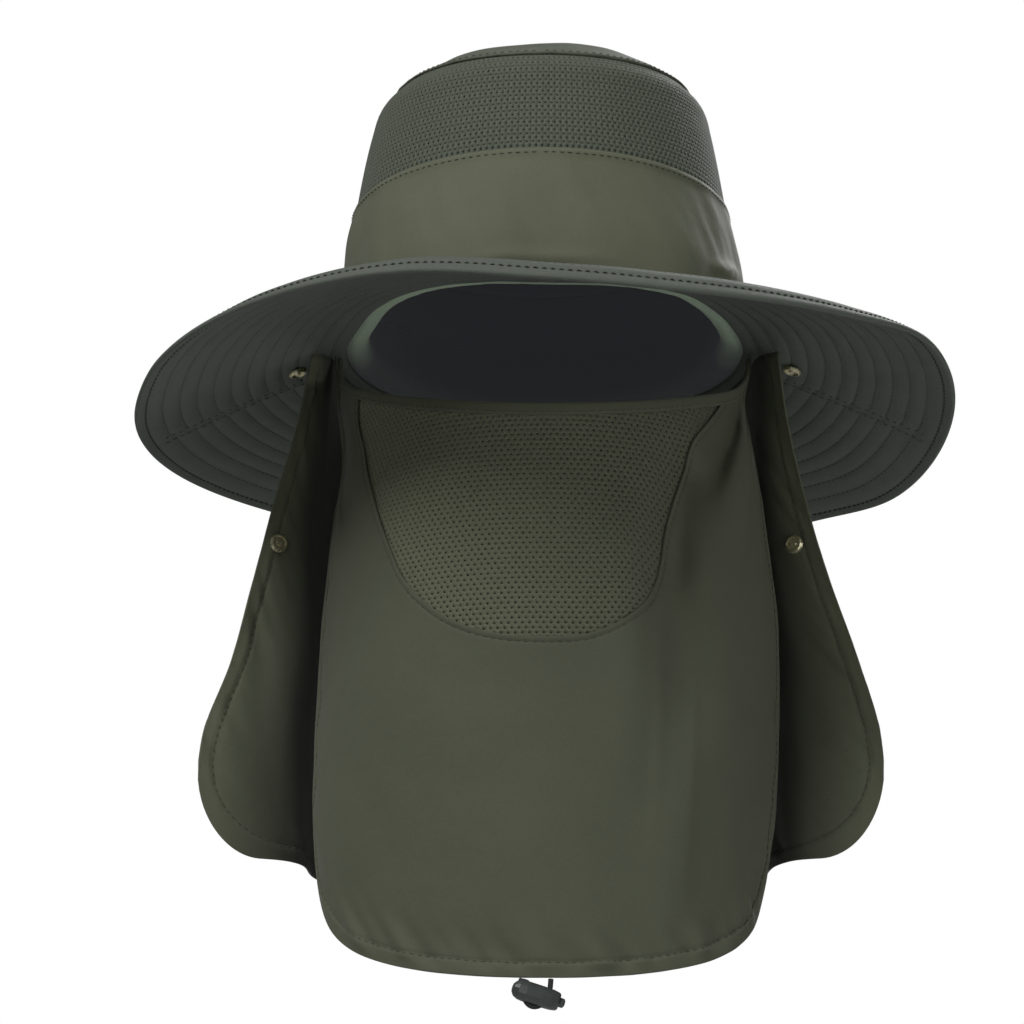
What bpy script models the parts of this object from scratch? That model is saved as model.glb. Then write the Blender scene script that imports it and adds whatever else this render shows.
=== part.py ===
"""Flap sun hat: domed crown with a mesh band, wide brim, neck flap, face mask and cord lock.

Metres, +Z up. The hat is level and faces -Y. The origin is the centre of the head opening,
at the height of the seam between crown and brim. Azimuth 0 is the front and 90 is the +X side.
"""
import math
from collections import namedtuple

import bmesh
import bpy
from mathutils import Matrix, Vector

# Clearances and walls
GAP = 0.0003
SEAM_GAP = 0.0008
CROWN_WALL = 0.0015
SWEATBAND_WALL = 0.0012
BRIM_WALL = 0.0024
FLAP_WALL = 0.0012
MASK_WALL = 0.0012

# Head opening and sweatband
HEAD_HALF_WIDTH = 0.0820
HEAD_HALF_LENGTH = 0.0940
SWEATBAND_FOLD = 0.0060
SWEATBAND_HEIGHT = 0.0300
SWEATBAND_LEAN = 0.0036

# Crown
BAND_HEIGHT = 0.0605
MESH_HEIGHT = 0.0500
TIP_HEIGHT = 0.0180
SIDE_RISE = 0.0085
CROWN_LEAN = -0.0015

# Brim
BRIM_WIDTH = 0.0930
BRIM_DROP = 0.0280

# Neck flap
FLAP_FRONT_AZIMUTH = 84.0
FLAP_HEM_AZIMUTH = 80.0
FLAP_CLEARANCE = 0.0040
FLAP_TOP_FLARE = 0.0120
FLAP_HEM_FLARE = 0.0520
FLAP_SHIFT = -0.0025
FLAP_HEM_HALF_WIDTH = 0.0970
FLAP_HEM_HALF_DEPTH = 0.1150
FLAP_BACK_LENGTH = 0.2420
FLAP_FRONT_LENGTH = 0.2335
FLAP_CORNER_RADIUS = 0.0415
FLAP_RIPPLE = 0.0050
FLAP_RIPPLES = 2.4
FLAP_CALM_FROM = 0.55
FLAP_CALM_RUN = 0.30
FLAP_SHORTER_FROM = 0.40
FLAP_SHORTER_RUN = 0.45

# Face mask
MASK_CORNER_DROP = 0.0043
MASK_CORNER_RUN = 0.07
MASK_TOP_DROP = 0.0135
MASK_LENGTH = 0.2845
MASK_SAG = 0.0462
MASK_SAG_POWER = 2.05
MASK_HALF_WIDTH = 0.0980
MASK_DEPTH = 0.1150
MASK_SIDE_ANGLE = 84.0
MASK_HEM_RISE = 0.0685
MASK_HEM_POWER = 2.1
MASK_FOLD = 0.0055
FOLD_FADE_IN = 0.25
FOLD_FADE_OUT = 0.45
WINDOW_HALF_WIDTH = 0.0890
WINDOW_HEIGHT = 0.0985
WINDOW_MIDDLE = (-0.06, 0.13)
CORNER_LIMIT = 0.25

# Press snaps
SNAP_RADIUS = 0.0042
SNAP_HEIGHT = 0.0016
SNAP_SEAT = 0.0006
FLAP_SNAP_DROP = 0.0943
LEFT_SNAP_INSET = 0.0068
RIGHT_SNAP_INSET = 0.0104
BRIM_SNAP_OFFSET = 0.0225
BRIM_SNAP_AZIMUTH = 90.0
SNAP_WALK = 0.0020

# Elastic cord and cord lock
CORD_RADIUS = 0.0011
CORD_CLEARANCE = 0.0005
CORD_LEFT_EXIT = -0.0116
CORD_RIGHT_EXIT = 0.0012
LOCK_LENGTH = 0.0200
LOCK_RADIUS = 0.0044
LOCK_TILT = 18.0
LOCK_DROP = 0.0068
LOCK_SHIFT = -0.0050
BUTTON_RADIUS = 0.0020
BUTTON_FLANGE = 0.0006
BUTTON_TRAVEL = 0.0020
BUTTON_PROUD = 0.0024
BUTTON_WALL = 0.0008

# How finely the cloth is divided
CROWN_STEPS = 36
BRIM_STEPS = 56
FLAP_HALF_COLUMNS = 22
FLAP_ROWS = 10
FLAP_EDGE_CROWDING = 1.25
MASK_STATIONS = 42
MASK_SIDE_RUN = 0.32
MASK_RINGS = (0.0, 0.12, 0.26, 0.42, 0.58, 0.72, 0.86, 1.0)
WINDOW_RINGS = (1.0, 0.82, 0.60, 0.36, 0.16)
TOP_EDGE_STATIONS = 10
SNAP_SIDES = 14
LOCK_SIDES = 16
CORD_POINTS = 36
WELD = 0.00001

# Lengths that follow from the ones above
CROWN_INNER_WIDTH = HEAD_HALF_WIDTH + SWEATBAND_FOLD + GAP
CROWN_INNER_LENGTH = HEAD_HALF_LENGTH + SWEATBAND_FOLD + GAP
CROWN_OUTER_WIDTH = CROWN_INNER_WIDTH + CROWN_WALL
CROWN_OUTER_LENGTH = CROWN_INNER_LENGTH + CROWN_WALL

# A crown section: height in its piece, width of the seam oval, and share of the side rise
CrownRow = namedtuple("CrownRow", "height width rise")
BAND_ROWS = [
    CrownRow(0.00, 1.000, 0.0),
    CrownRow(0.35, 1.000, 0.4),
    CrownRow(0.70, 0.968, 0.7),
    CrownRow(1.00, 0.926, 1.0),
]
MESH_ROWS = [
    CrownRow(0.00, 0.926, 1.0),
    CrownRow(0.35, 0.888, 0.9),
    CrownRow(0.65, 0.859, 0.7),
    CrownRow(0.85, 0.828, 0.6),
    CrownRow(1.00, 0.750, 0.5),
]
TIP_ROWS = [
    CrownRow(0.00, 0.750, 0.5),
    CrownRow(0.38, 0.655, 0.4),
    CrownRow(0.68, 0.560, 0.2),
    CrownRow(0.90, 0.340, 0.1),
]

# How far the brim's edge drops at each azimuth, as a share of BRIM_DROP
BrimEdge = namedtuple("BrimEdge", "azimuth drop")
BRIM_EDGE = [
    BrimEdge(-180, 1.25),
    BrimEdge(-134, 1.19),
    BrimEdge(-101, 1.24),
    BrimEdge(-80, 1.18),
    BrimEdge(-67, 0.96),
    BrimEdge(-42, 0.70),
    BrimEdge(-20, 0.65),
    BrimEdge(0, 0.88),
    BrimEdge(20, 0.96),
    BrimEdge(44, 0.85),
    BrimEdge(63, 0.67),
    BrimEdge(78, 0.82),
    BrimEdge(90, 1.02),
    BrimEdge(115, 1.47),
    BrimEdge(134, 1.36),
    BrimEdge(180, 1.25),
]

# How the brim's drop grows from the seam to the edge
BrimRow = namedtuple("BrimRow", "share drop")
BRIM_ROWS = [
    BrimRow(0.00, 0.00),
    BrimRow(0.20, 0.15),
    BrimRow(0.45, 0.39),
    BrimRow(0.70, 0.66),
    BrimRow(0.90, 0.89),
    BrimRow(1.00, 1.00),
]

# How the flap runs round the head and then turns outward, from its back to a front edge
FlapStation = namedtuple("FlapStation", "station round flare")
FLAP_STATIONS = [
    FlapStation(0.00, 0.00, 0.00),
    FlapStation(0.40, 0.48, 0.00),
    FlapStation(0.70, 0.84, 0.01),
    FlapStation(0.80, 0.94, 0.10),
    FlapStation(0.87, 0.99, 0.32),
    FlapStation(1.00, 1.04, 1.00),
]

# How the flap widens from the brim's seam to its hem, and how far it hangs to one side
FlapRow = namedtuple("FlapRow", "level spread aside")
FLAP_SPREAD = [
    FlapRow(0.00, 0.00, 0.00),
    FlapRow(0.15, 0.13, 0.50),
    FlapRow(0.30, 0.31, 1.00),
    FlapRow(0.45, 0.51, 0.70),
    FlapRow(0.60, 0.74, 0.20),
    FlapRow(0.75, 0.98, 0.80),
    FlapRow(1.00, 1.03, 1.00),
]

# The mask's half widths and the forward reach of its sides and its middle at each level
MaskRow = namedtuple("MaskRow", "level left right side middle")
MASK_ROWS = [
    MaskRow(0.00, 0.940, 0.915, 0.04, 1.00),
    MaskRow(0.05, 0.926, 0.890, 0.08, 1.00),
    MaskRow(0.16, 0.895, 0.930, 0.16, 0.99),
    MaskRow(0.25, 0.930, 0.962, 0.20, 0.98),
    MaskRow(0.43, 0.975, 1.010, 0.25, 0.95),
    MaskRow(0.70, 1.000, 0.985, 0.29, 0.90),
    MaskRow(0.85, 0.976, 0.930, 0.30, 0.87),
    MaskRow(1.00, 0.977, 0.930, 0.30, 0.85),
]

# The mask's window from its top ends to its lowest point; a fold of cloth narrows its right half
WindowRow = namedtuple("WindowRow", "share left right drop")
WINDOW_ROWS = [
    WindowRow(0.00, 0.98, 0.95, 0.00),
    WindowRow(0.16, 1.00, 0.66, 0.17),
    WindowRow(0.30, 0.92, 0.58, 0.30),
    WindowRow(0.42, 0.83, 0.52, 0.42),
    WindowRow(0.54, 0.75, 0.47, 0.55),
    WindowRow(0.66, 0.66, 0.44, 0.69),
    WindowRow(0.75, 0.59, 0.41, 0.79),
    WindowRow(0.83, 0.48, 0.36, 0.88),
    WindowRow(0.90, 0.35, 0.27, 0.95),
    WindowRow(0.95, 0.19, 0.15, 0.99),
    WindowRow(1.00, 0.00, 0.00, 1.00),
]

# Soft folds of the mask: where each starts and ends across and down, its depth and width
MaskFold = namedtuple("MaskFold", "from_side from_drop to_side to_drop depth width")
MASK_FOLDS = [
    MaskFold(0.97, 0.00, 0.40, 0.17, -1.2, 0.07),
    MaskFold(0.47, 0.05, 0.32, 0.38, -1.2, 0.08),
    MaskFold(0.32, 0.24, 0.52, 0.66, -1.0, 0.09),
    MaskFold(0.96, 0.06, 0.50, 0.30, 1.1, 0.09),
    MaskFold(0.44, 0.40, 0.40, 1.10, 0.6, 0.08),
    MaskFold(-0.95, 0.03, -0.76, 0.24, 0.8, 0.07),
    MaskFold(-0.97, 0.14, -0.66, 0.30, -0.7, 0.06),
]

# The cord's way through its lock, as shares of half the lock's length and of its radius
CordPoint = namedtuple("CordPoint", "run rise")
CORD_WAY = [
    CordPoint(-0.47, 0.82),
    CordPoint(-0.46, 0.34),
    CordPoint(-0.44, -0.18),
    CordPoint(-0.34, -0.73),
    CordPoint(-0.15, -1.07),
    CordPoint(0.08, -1.11),
    CordPoint(0.30, -0.82),
    CordPoint(0.43, -0.27),
    CordPoint(0.47, 0.34),
    CordPoint(0.48, 0.91),
]

# Colours, linear
OLIVE = (0.060, 0.064, 0.048)
OLIVE_MESH = (0.040, 0.044, 0.036)
PALE_OLIVE = (0.110, 0.130, 0.095)
BRASS = (0.160, 0.150, 0.090)
DARK_PLASTIC = (0.020, 0.024, 0.022)
CORD_BLACK = (0.016, 0.019, 0.017)


def read_table(rows, name, column, value):
    """Read a column of a table on a smooth curve through its rows."""
    keys = [getattr(row, name) for row in rows]
    values = [getattr(row, column) for row in rows]
    value = min(max(value, keys[0]), keys[-1])
    last = len(rows) - 2
    index = min(sum(1 for key in keys[1:] if key < value), last)
    span = keys[index + 1] - keys[index]
    share = (value - keys[index]) / span
    before = max(index - 1, 0)
    after = min(index + 2, last + 1)
    slope_in = (values[index + 1] - values[before]) / (keys[index + 1] - keys[before]) * span
    slope_out = (values[after] - values[index]) / (keys[after] - keys[index]) * span
    cubic = 2 * share ** 3 - 3 * share ** 2
    return (
        values[index] * (1 + cubic)
        + values[index + 1] * -cubic
        + slope_in * (share ** 3 - 2 * share ** 2 + share)
        + slope_out * (share ** 3 - share ** 2)
    )


def mix(start, end, share):
    """The value that lies a share of the way from start to end."""
    return start + (end - start) * share


def ease(value):
    """A share from 0 to 1 with soft ends."""
    value = min(max(value, 0.0), 1.0)
    return value * value * (3 - 2 * value)


def oval(half_width, half_length, azimuth):
    """A point of an oval in the plan, from its half axes."""
    angle = math.radians(azimuth)
    return half_width * math.sin(angle), -half_length * math.cos(angle)


def empty_the_scene():
    """Remove what the scene holds."""
    for item in list(bpy.data.objects):
        bpy.data.objects.remove(item)


def new_collection(name):
    """A collection linked to the scene."""
    collection = bpy.data.collections.new(name)
    bpy.context.scene.collection.children.link(collection)
    return collection


def new_material(name, colour, roughness, metallic=0.0):
    """A plain Principled material."""
    material = bpy.data.materials.new(name)
    material.use_nodes = True
    shader = material.node_tree.nodes["Principled BSDF"]
    shader.inputs["Base Color"].default_value = (*colour, 1.0)
    shader.inputs["Roughness"].default_value = roughness
    shader.inputs["Metallic"].default_value = metallic
    return material


def add_object(name, data, collection, material=None):
    """An object with its data, in a collection and with a material."""
    item = bpy.data.objects.new(name, data)
    collection.objects.link(item)
    if material:
        data.materials.append(material)
    return item


def loft(name, sections, closed, collection, material, pole=None):
    """An open surface through sections of equal count, closed round or not, with or without a pole."""
    mesh = bmesh.new()
    rows = [[mesh.verts.new(point) for point in section] for section in sections]
    count = len(rows[0])
    sides = count if closed else count - 1
    for low, high in zip(rows, rows[1:]):
        for side in range(sides):
            after = (side + 1) % count
            mesh.faces.new((low[side], low[after], high[after], high[side]))
    if pole:
        tip = mesh.verts.new(pole)
        for side in range(sides):
            mesh.faces.new((rows[-1][side], rows[-1][(side + 1) % count], tip))
    data = bpy.data.meshes.new(name)
    mesh.to_mesh(data)
    mesh.free()
    data.shade_smooth()
    return add_object(name, data, collection, material)


def thicken(item, wall, offset):
    """Give an open surface its cloth thickness: offset -1 is inward, 0 is to both sides."""
    solidify = item.modifiers.new("Cloth wall", "SOLIDIFY")
    solidify.thickness = wall
    solidify.offset = offset
    solidify.use_even_offset = True


def crown_section(row, bottom, height):
    """One oval of the crown's outer face, a little aside halfway up, where the crown leans."""
    level = bottom + height * row.height
    lean = CROWN_LEAN * math.sin(math.pi * level / (BAND_HEIGHT + MESH_HEIGHT + TIP_HEIGHT))
    points = []
    for step in range(CROWN_STEPS):
        azimuth = 360 * step / CROWN_STEPS
        x, y = oval(CROWN_OUTER_WIDTH * row.width, CROWN_OUTER_LENGTH * row.width, azimuth)
        rise = SIDE_RISE * row.rise * math.sin(math.radians(azimuth)) ** 2
        points.append((x + lean, y, level + rise))
    return points


def make_crown(collection, cloth, mesh_cloth):
    """The band, the mesh band above it and the domed tip."""
    mesh_bottom = BAND_HEIGHT + SEAM_GAP
    tip_bottom = mesh_bottom + MESH_HEIGHT + SEAM_GAP
    pieces = [
        ("crown_band", BAND_ROWS, 0.0, BAND_HEIGHT, cloth),
        ("crown_mesh", MESH_ROWS, mesh_bottom, MESH_HEIGHT, mesh_cloth),
        ("crown_tip", TIP_ROWS, tip_bottom, TIP_HEIGHT, cloth),
    ]
    for name, rows, bottom, height, material in pieces:
        sections = [crown_section(row, bottom, height) for row in rows]
        pole = (0, 0, tip_bottom + TIP_HEIGHT) if name == "crown_tip" else None
        thicken(loft(name, sections, True, collection, material, pole), CROWN_WALL, -1)


def make_sweatband(collection, material):
    """A band inside the crown whose lower edge is folded inward, so that it shows from below."""
    half_wall = SWEATBAND_WALL / 2
    outer = SWEATBAND_FOLD - half_wall
    profile = [(outer, 0.0), (half_wall, 0.0), (SWEATBAND_LEAN, SWEATBAND_HEIGHT)]
    sections = []
    for offset, height in profile:
        section = []
        for step in range(CROWN_STEPS):
            azimuth = 360 * step / CROWN_STEPS
            x, y = oval(HEAD_HALF_WIDTH + offset, HEAD_HALF_LENGTH + offset, azimuth)
            section.append((x, y, height))
        sections.append(section)
    thicken(loft("sweatband", sections, True, collection, material), SWEATBAND_WALL, 0)


def brim_top(azimuth, share):
    """A point on the brim's upper face, from the seam (share 0) to the edge (share 1)."""
    azimuth = (azimuth + 180) % 360 - 180
    offset = BRIM_WIDTH * share
    x, y = oval(CROWN_INNER_WIDTH + offset, CROWN_INNER_LENGTH + offset, azimuth)
    edge = BRIM_DROP * read_table(BRIM_EDGE, "azimuth", "drop", azimuth)
    drop = edge * read_table(BRIM_ROWS, "share", "drop", share)
    return Vector((x, y, -GAP - drop))


def brim_underside(azimuth, offset):
    """A point just clear of the brim's lower face, an offset outside the seam."""
    point = brim_top(azimuth, offset / BRIM_WIDTH)
    point.z -= BRIM_WALL * 1.05 + GAP * 2
    return point


def make_brim(collection, material):
    """The brim: one closed ring that drops more at the sides than at the front."""
    shares = [row.share for row in BRIM_ROWS]
    sections = []
    for share in reversed(shares):
        sections.append([brim_top(360 * step / BRIM_STEPS, share) for step in range(BRIM_STEPS)])
    thicken(loft("brim", sections, True, collection, material), BRIM_WALL, -1)


def flap_drop(station):
    """The height of the flap's hem at a station, from -1 at one front edge to 1 at the other."""
    reach = abs(station)
    length = mix(FLAP_BACK_LENGTH, FLAP_FRONT_LENGTH, ease((reach - FLAP_SHORTER_FROM) / FLAP_SHORTER_RUN))
    turn = 1 - FLAP_STATIONS[-2].station
    corner = turn * FLAP_CORNER_RADIUS / FLAP_HEM_FLARE
    inside = min(max((reach - 1 + corner) / corner, 0.0), 1.0)
    return -length + FLAP_CORNER_RADIUS * (1 - math.sqrt(1 - inside ** 2))


def flap_azimuth(station, front):
    """The azimuth of a station, where the flap's front edges lie at the azimuth front."""
    share = read_table(FLAP_STATIONS, "station", "round", abs(station))
    return 180 - (180 - front) * math.copysign(share, station)


def flap_flare(station):
    """How much of the outward turn of its front edge the flap has at a station."""
    return max(read_table(FLAP_STATIONS, "station", "flare", abs(station)), 0.0)


def flap_top(station):
    """A point of the flap's upper edge, just under the brim."""
    offset = FLAP_CLEARANCE + FLAP_TOP_FLARE * flap_flare(station)
    return brim_underside(flap_azimuth(station, FLAP_FRONT_AZIMUTH), offset)


def flap_point(station, height):
    """A point in the middle of the flap's cloth, at a station and a height."""
    top = flap_top(station)
    azimuth = flap_azimuth(station, FLAP_HEM_AZIMUTH)
    hem_x, hem_y = oval(FLAP_HEM_HALF_WIDTH, FLAP_HEM_HALF_DEPTH, azimuth)
    level = (top.z - height) / (FLAP_BACK_LENGTH + top.z)
    calm = 1 - ease((abs(station) - FLAP_CALM_FROM) / FLAP_CALM_RUN)
    ripple = FLAP_RIPPLE * calm * math.cos(math.tau * FLAP_RIPPLES * station)
    outward = Vector((hem_x, hem_y)).normalized() * ripple
    hem_x += outward.x + math.copysign(FLAP_HEM_FLARE * flap_flare(station), hem_x)
    hem_y += outward.y
    spread = read_table(FLAP_SPREAD, "level", "spread", level)
    aside = FLAP_SHIFT * read_table(FLAP_SPREAD, "level", "aside", level)
    return Vector((mix(top.x, hem_x, spread) + aside, mix(top.y, hem_y, spread), height))


def make_flap(collection, material):
    """The neck flap, a curtain sewn along the brim's seam with its front edges turned outward."""
    shares = [step / FLAP_HALF_COLUMNS for step in range(FLAP_HALF_COLUMNS + 1)]
    half = [1 - (1 - share) ** FLAP_EDGE_CROWDING for share in shares]
    stations = [-station for station in reversed(half[1:])] + half
    sections = []
    for row in range(FLAP_ROWS + 1):
        section = []
        for station in stations:
            height = mix(flap_top(station).z, flap_drop(station), row / FLAP_ROWS)
            section.append(flap_point(station, height))
        sections.append(section)
    thicken(loft("neck_flap", sections, False, collection, material), FLAP_WALL, 0)


def mask_hem(side):
    """The height of the mask's hem at a share of its half width, rising to its round corners."""
    rise = MASK_HEM_RISE * (1 - math.sqrt(1 - abs(side) ** MASK_HEM_POWER))
    return -MASK_TOP_DROP - MASK_LENGTH + rise


def mask_top(side):
    """The height of the mask's upper edge, which sags between the corners sewn under the brim."""
    sag = MASK_SAG * (1 - abs(side) ** MASK_SAG_POWER)
    pulled_up = ease((abs(side) - 1 + MASK_CORNER_RUN) / MASK_CORNER_RUN)
    return -mix(MASK_TOP_DROP + sag, MASK_CORNER_DROP, pulled_up)


def mask_fold(side, drop):
    """How far the mask's cloth stands forward or back where its soft folds run."""
    reach = 0.0
    for fold in MASK_FOLDS:
        run = Vector((fold.to_side - fold.from_side, fold.to_drop - fold.from_drop))
        place = Vector((side - fold.from_side, drop - fold.from_drop))
        along = place.dot(run) / run.length_squared
        across = (place - run * along).length / fold.width
        fade = ease(along / FOLD_FADE_IN) * ease((1 - along) / FOLD_FADE_OUT)
        reach += fold.depth * MASK_FOLD * fade * math.exp(-across ** 2)
    return reach


def mask_point(side, drop):
    """A point in the middle of the mask's cloth: side is -1 to 1, drop is 0 (top) to 1 (hem)."""
    height = mix(mask_top(side), mask_hem(side), drop)
    level = (-MASK_TOP_DROP - height) / MASK_LENGTH
    half_width = MASK_HALF_WIDTH * read_table(MASK_ROWS, "level", "left" if side < 0 else "right", level)
    side_reach = MASK_DEPTH * read_table(MASK_ROWS, "level", "side", level)
    middle_reach = MASK_DEPTH * read_table(MASK_ROWS, "level", "middle", level)
    end = math.radians(MASK_SIDE_ANGLE)
    angle = side * end
    bow = (math.cos(angle) - math.cos(end)) / (1 - math.cos(end))
    x = half_width * math.sin(angle) / math.sin(end)
    reach = mix(side_reach, middle_reach, bow) + mask_fold(side, drop)
    return Vector((x, -reach, height))


def window_curve(share):
    """A point of the mask's U-shaped window, from its left top end (0) to its right one (1)."""
    half = 1 - abs(2 * share - 1)
    end = math.radians(MASK_SIDE_ANGLE)
    wide = math.asin(min(WINDOW_HALF_WIDTH / MASK_HALF_WIDTH * math.sin(end), 1.0)) / end
    across = wide * read_table(WINDOW_ROWS, "share", "left" if share < 0.5 else "right", half)
    depth = WINDOW_HEIGHT / (MASK_LENGTH - MASK_SAG)
    drop = depth * read_table(WINDOW_ROWS, "share", "drop", half)
    return Vector((math.copysign(across, share - 0.5), drop))


def inside_edge(edge, gap):
    """A closed edge on the mask's cloth, moved inward by a gap, and by more in sharp corners."""
    metres = Vector((MASK_HALF_WIDTH, MASK_LENGTH - MASK_SAG))
    moved = []
    for index, place in enumerate(edge):
        before = ((place - edge[index - 1]) * metres).normalized()
        after = ((edge[(index + 1) % len(edge)] - place) * metres).normalized()
        run = (before + after).normalized()
        inward = Vector((run.y, -run.x)) * gap / max(run.dot(before), CORNER_LIMIT)
        moved.append(Vector((place.x + inward.x / metres.x, place.y + inward.y / metres.y)))
    return moved


def mask_outline(share):
    """A point of the mask's own edge: down the left side, along the hem and up the right side."""
    if share < MASK_SIDE_RUN:
        return Vector((-1.0, share / MASK_SIDE_RUN))
    if share > 1 - MASK_SIDE_RUN:
        return Vector((1.0, (1 - share) / MASK_SIDE_RUN))
    along = (share - MASK_SIDE_RUN) / (1 - 2 * MASK_SIDE_RUN)
    return Vector((-math.cos(math.pi * along), 1.0))


def make_mask(collection, cloth, mesh_cloth):
    """The mask's cloth, lofted from its window to its edge, and the mesh let into the window."""
    shares = [station / MASK_STATIONS for station in range(MASK_STATIONS + 1)]
    sections = []
    for ring in MASK_RINGS:
        section = []
        for share in shares:
            place = window_curve(share).lerp(mask_outline(share), ring)
            section.append(mask_point(place.x, max(place.y, 0.0)))
        sections.append(section)
    thicken(loft("mask_panel", sections, False, collection, cloth), MASK_WALL, 0)

    edge = [window_curve(share) for share in shares]
    right, left = edge[-1], edge[0]
    for step in range(1, TOP_EDGE_STATIONS):
        edge.append(right.lerp(left, step / TOP_EDGE_STATIONS))
    edge = inside_edge(edge, SEAM_GAP)
    middle = Vector(WINDOW_MIDDLE)
    sections = []
    for ring in WINDOW_RINGS:
        places = [middle.lerp(place, ring) for place in edge]
        sections.append([mask_point(*place) for place in places])
    pole = mask_point(*middle)
    thicken(loft("mask_mesh", sections, True, collection, mesh_cloth, pole), MASK_WALL, 0)


def facing(point, direction):
    """A placement whose +Z looks along a direction."""
    turn = Vector(direction).normalized().to_track_quat("Z", "Y").to_matrix().to_4x4()
    return Matrix.Translation(point) @ turn


def turned(name, profile, steps, collection, material):
    """A solid turned round Z from a profile of radius and height, top centre to bottom centre."""
    mesh = bmesh.new()
    verts = [mesh.verts.new((radius, 0, height)) for radius, height in profile]
    for start, end in zip(verts, verts[1:]):
        mesh.edges.new((start, end))
    data = bpy.data.meshes.new(name)
    mesh.to_mesh(data)
    mesh.free()
    item = add_object(name, data, collection, material)
    screw = item.modifiers.new("Turn", "SCREW")
    screw.steps = steps
    screw.render_steps = steps
    screw.use_merge_vertices = True
    screw.merge_threshold = WELD
    return item


def seat_on_flap(side, inset):
    """The snap's seat on the flap's inner face: a point an inset from the front edge, and its normal."""
    station = float(side)
    point = flap_point(station, -FLAP_SNAP_DROP)
    walked = 0.0
    while walked < inset:
        station -= side * SNAP_WALK
        moved = flap_point(station, -FLAP_SNAP_DROP)
        walked += (moved - point).length
        point = moved
    across = flap_point(station - side * SNAP_WALK, -FLAP_SNAP_DROP) - point
    down = flap_point(station, -FLAP_SNAP_DROP - SNAP_RADIUS) - point
    normal = across.cross(down).normalized() * side
    return point + normal * (FLAP_WALL / 2 + SNAP_SEAT), normal


def seat_under_brim(side):
    """The snap's seat on the brim's lower face beside the flap's top corner, and its normal."""
    share = BRIM_SNAP_OFFSET / BRIM_WIDTH
    edge_share = (BRIM_SNAP_OFFSET + SNAP_RADIUS) / BRIM_WIDTH
    point = brim_top(side * BRIM_SNAP_AZIMUTH, share)
    outward = brim_top(side * BRIM_SNAP_AZIMUTH, edge_share) - point
    along = brim_top(side * (BRIM_SNAP_AZIMUTH + 360 / BRIM_STEPS), share) - point
    normal = along.cross(outward).normalized() * side
    return point + normal * (BRIM_WALL + SNAP_SEAT), normal


def make_snaps(collection, metal):
    """A ring snap on each front edge of the flap, and its stud under the brim on each side."""
    profile = [
        (0.0, SNAP_HEIGHT),
        (SNAP_RADIUS * 0.28, SNAP_HEIGHT),
        (SNAP_RADIUS * 0.40, SNAP_HEIGHT * 0.5),
        (SNAP_RADIUS * 0.66, SNAP_HEIGHT * 0.5),
        (SNAP_RADIUS * 0.76, SNAP_HEIGHT),
        (SNAP_RADIUS * 0.90, SNAP_HEIGHT * 0.9),
        (SNAP_RADIUS, SNAP_HEIGHT * 0.4),
        (SNAP_RADIUS, 0.0),
        (0.0, 0.0),
    ]
    for name, side, inset in (("left", -1, LEFT_SNAP_INSET), ("right", 1, RIGHT_SNAP_INSET)):
        flap_snap = turned("flap_snap_" + name, profile, SNAP_SIDES, collection, metal)
        flap_snap.matrix_world = facing(*seat_on_flap(side, inset))
        brim_snap = turned("brim_snap_" + name, profile, SNAP_SIDES, collection, metal)
        brim_snap.matrix_world = facing(*seat_under_brim(side))


def lock_frame():
    """The lock's placement: its centre, the direction along it and the direction across it."""
    hem = mask_point(0.0, 1.0)
    tilt = math.radians(LOCK_TILT)
    centre = Vector((LOCK_SHIFT, hem.y, hem.z - LOCK_DROP))
    along = Vector((math.cos(tilt), 0, -math.sin(tilt)))
    across = Vector((math.sin(tilt), 0, math.cos(tilt)))
    return centre, along, across


def cord_exit(across, towards):
    """The end of the cord where it leaves the mask's hem on its way towards a point."""
    hem = mask_point(across / MASK_HALF_WIDTH, 1.0)
    run = (towards - Vector((across, hem.y, hem.z))).normalized()
    edge_rise = CORD_RADIUS * math.hypot(run.x, run.y)
    return Vector((across, hem.y, hem.z - GAP - edge_rise))


def cord_route():
    """The cord's own points: out of the hem, through the lock, round its turn and back up."""
    centre, along, across = lock_frame()
    half = LOCK_LENGTH / 2
    inside = [centre + along * point.run * half + across * point.rise * LOCK_RADIUS for point in CORD_WAY]
    return [cord_exit(CORD_LEFT_EXIT, inside[0])] + inside + [cord_exit(CORD_RIGHT_EXIT, inside[-1])]


def smooth_route(points, count):
    """Points on a smooth curve through the route's own points."""
    curve = []
    padded = [points[0] * 2 - points[1]] + points + [points[-1] * 2 - points[-2]]
    for step in range(count + 1):
        place = step / count * (len(points) - 1)
        index = min(int(place), len(points) - 2)
        share = place - index
        before, start, end, after = padded[index:index + 4]
        curve.append(0.5 * (
            start * 2
            + (end - before) * share
            + (before * 2 - start * 5 + end * 4 - after) * share ** 2
            + (start * 3 - before - end * 3 + after) * share ** 3
        ))
    return curve


def add_tube(name, points, radius, collection, material):
    """A round tube along points, with closed ends."""
    data = bpy.data.curves.new(name, "CURVE")
    data.dimensions = "3D"
    data.bevel_depth = radius
    data.bevel_resolution = 2
    data.use_fill_caps = True
    spline = data.splines.new("POLY")
    spline.points.add(len(points) - 1)
    for item, point in zip(spline.points, points):
        item.co = (*point, 1.0)
    return add_object(name, data, collection, material)


def tube_to_mesh(tube, collection):
    """Turn a tube into a welded mesh of its own, so that it can cut."""
    bpy.context.view_layer.update()
    depsgraph = bpy.context.evaluated_depsgraph_get()
    data = bpy.data.meshes.new_from_object(tube.evaluated_get(depsgraph))
    mesh = bmesh.new()
    mesh.from_mesh(data)
    bmesh.ops.remove_doubles(mesh, verts=mesh.verts, dist=WELD)
    mesh.to_mesh(data)
    mesh.free()
    name = tube.name
    place = tube.matrix_world.copy()
    bpy.data.objects.remove(tube)
    item = add_object(name, data, collection)
    item.matrix_world = place
    return item


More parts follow.
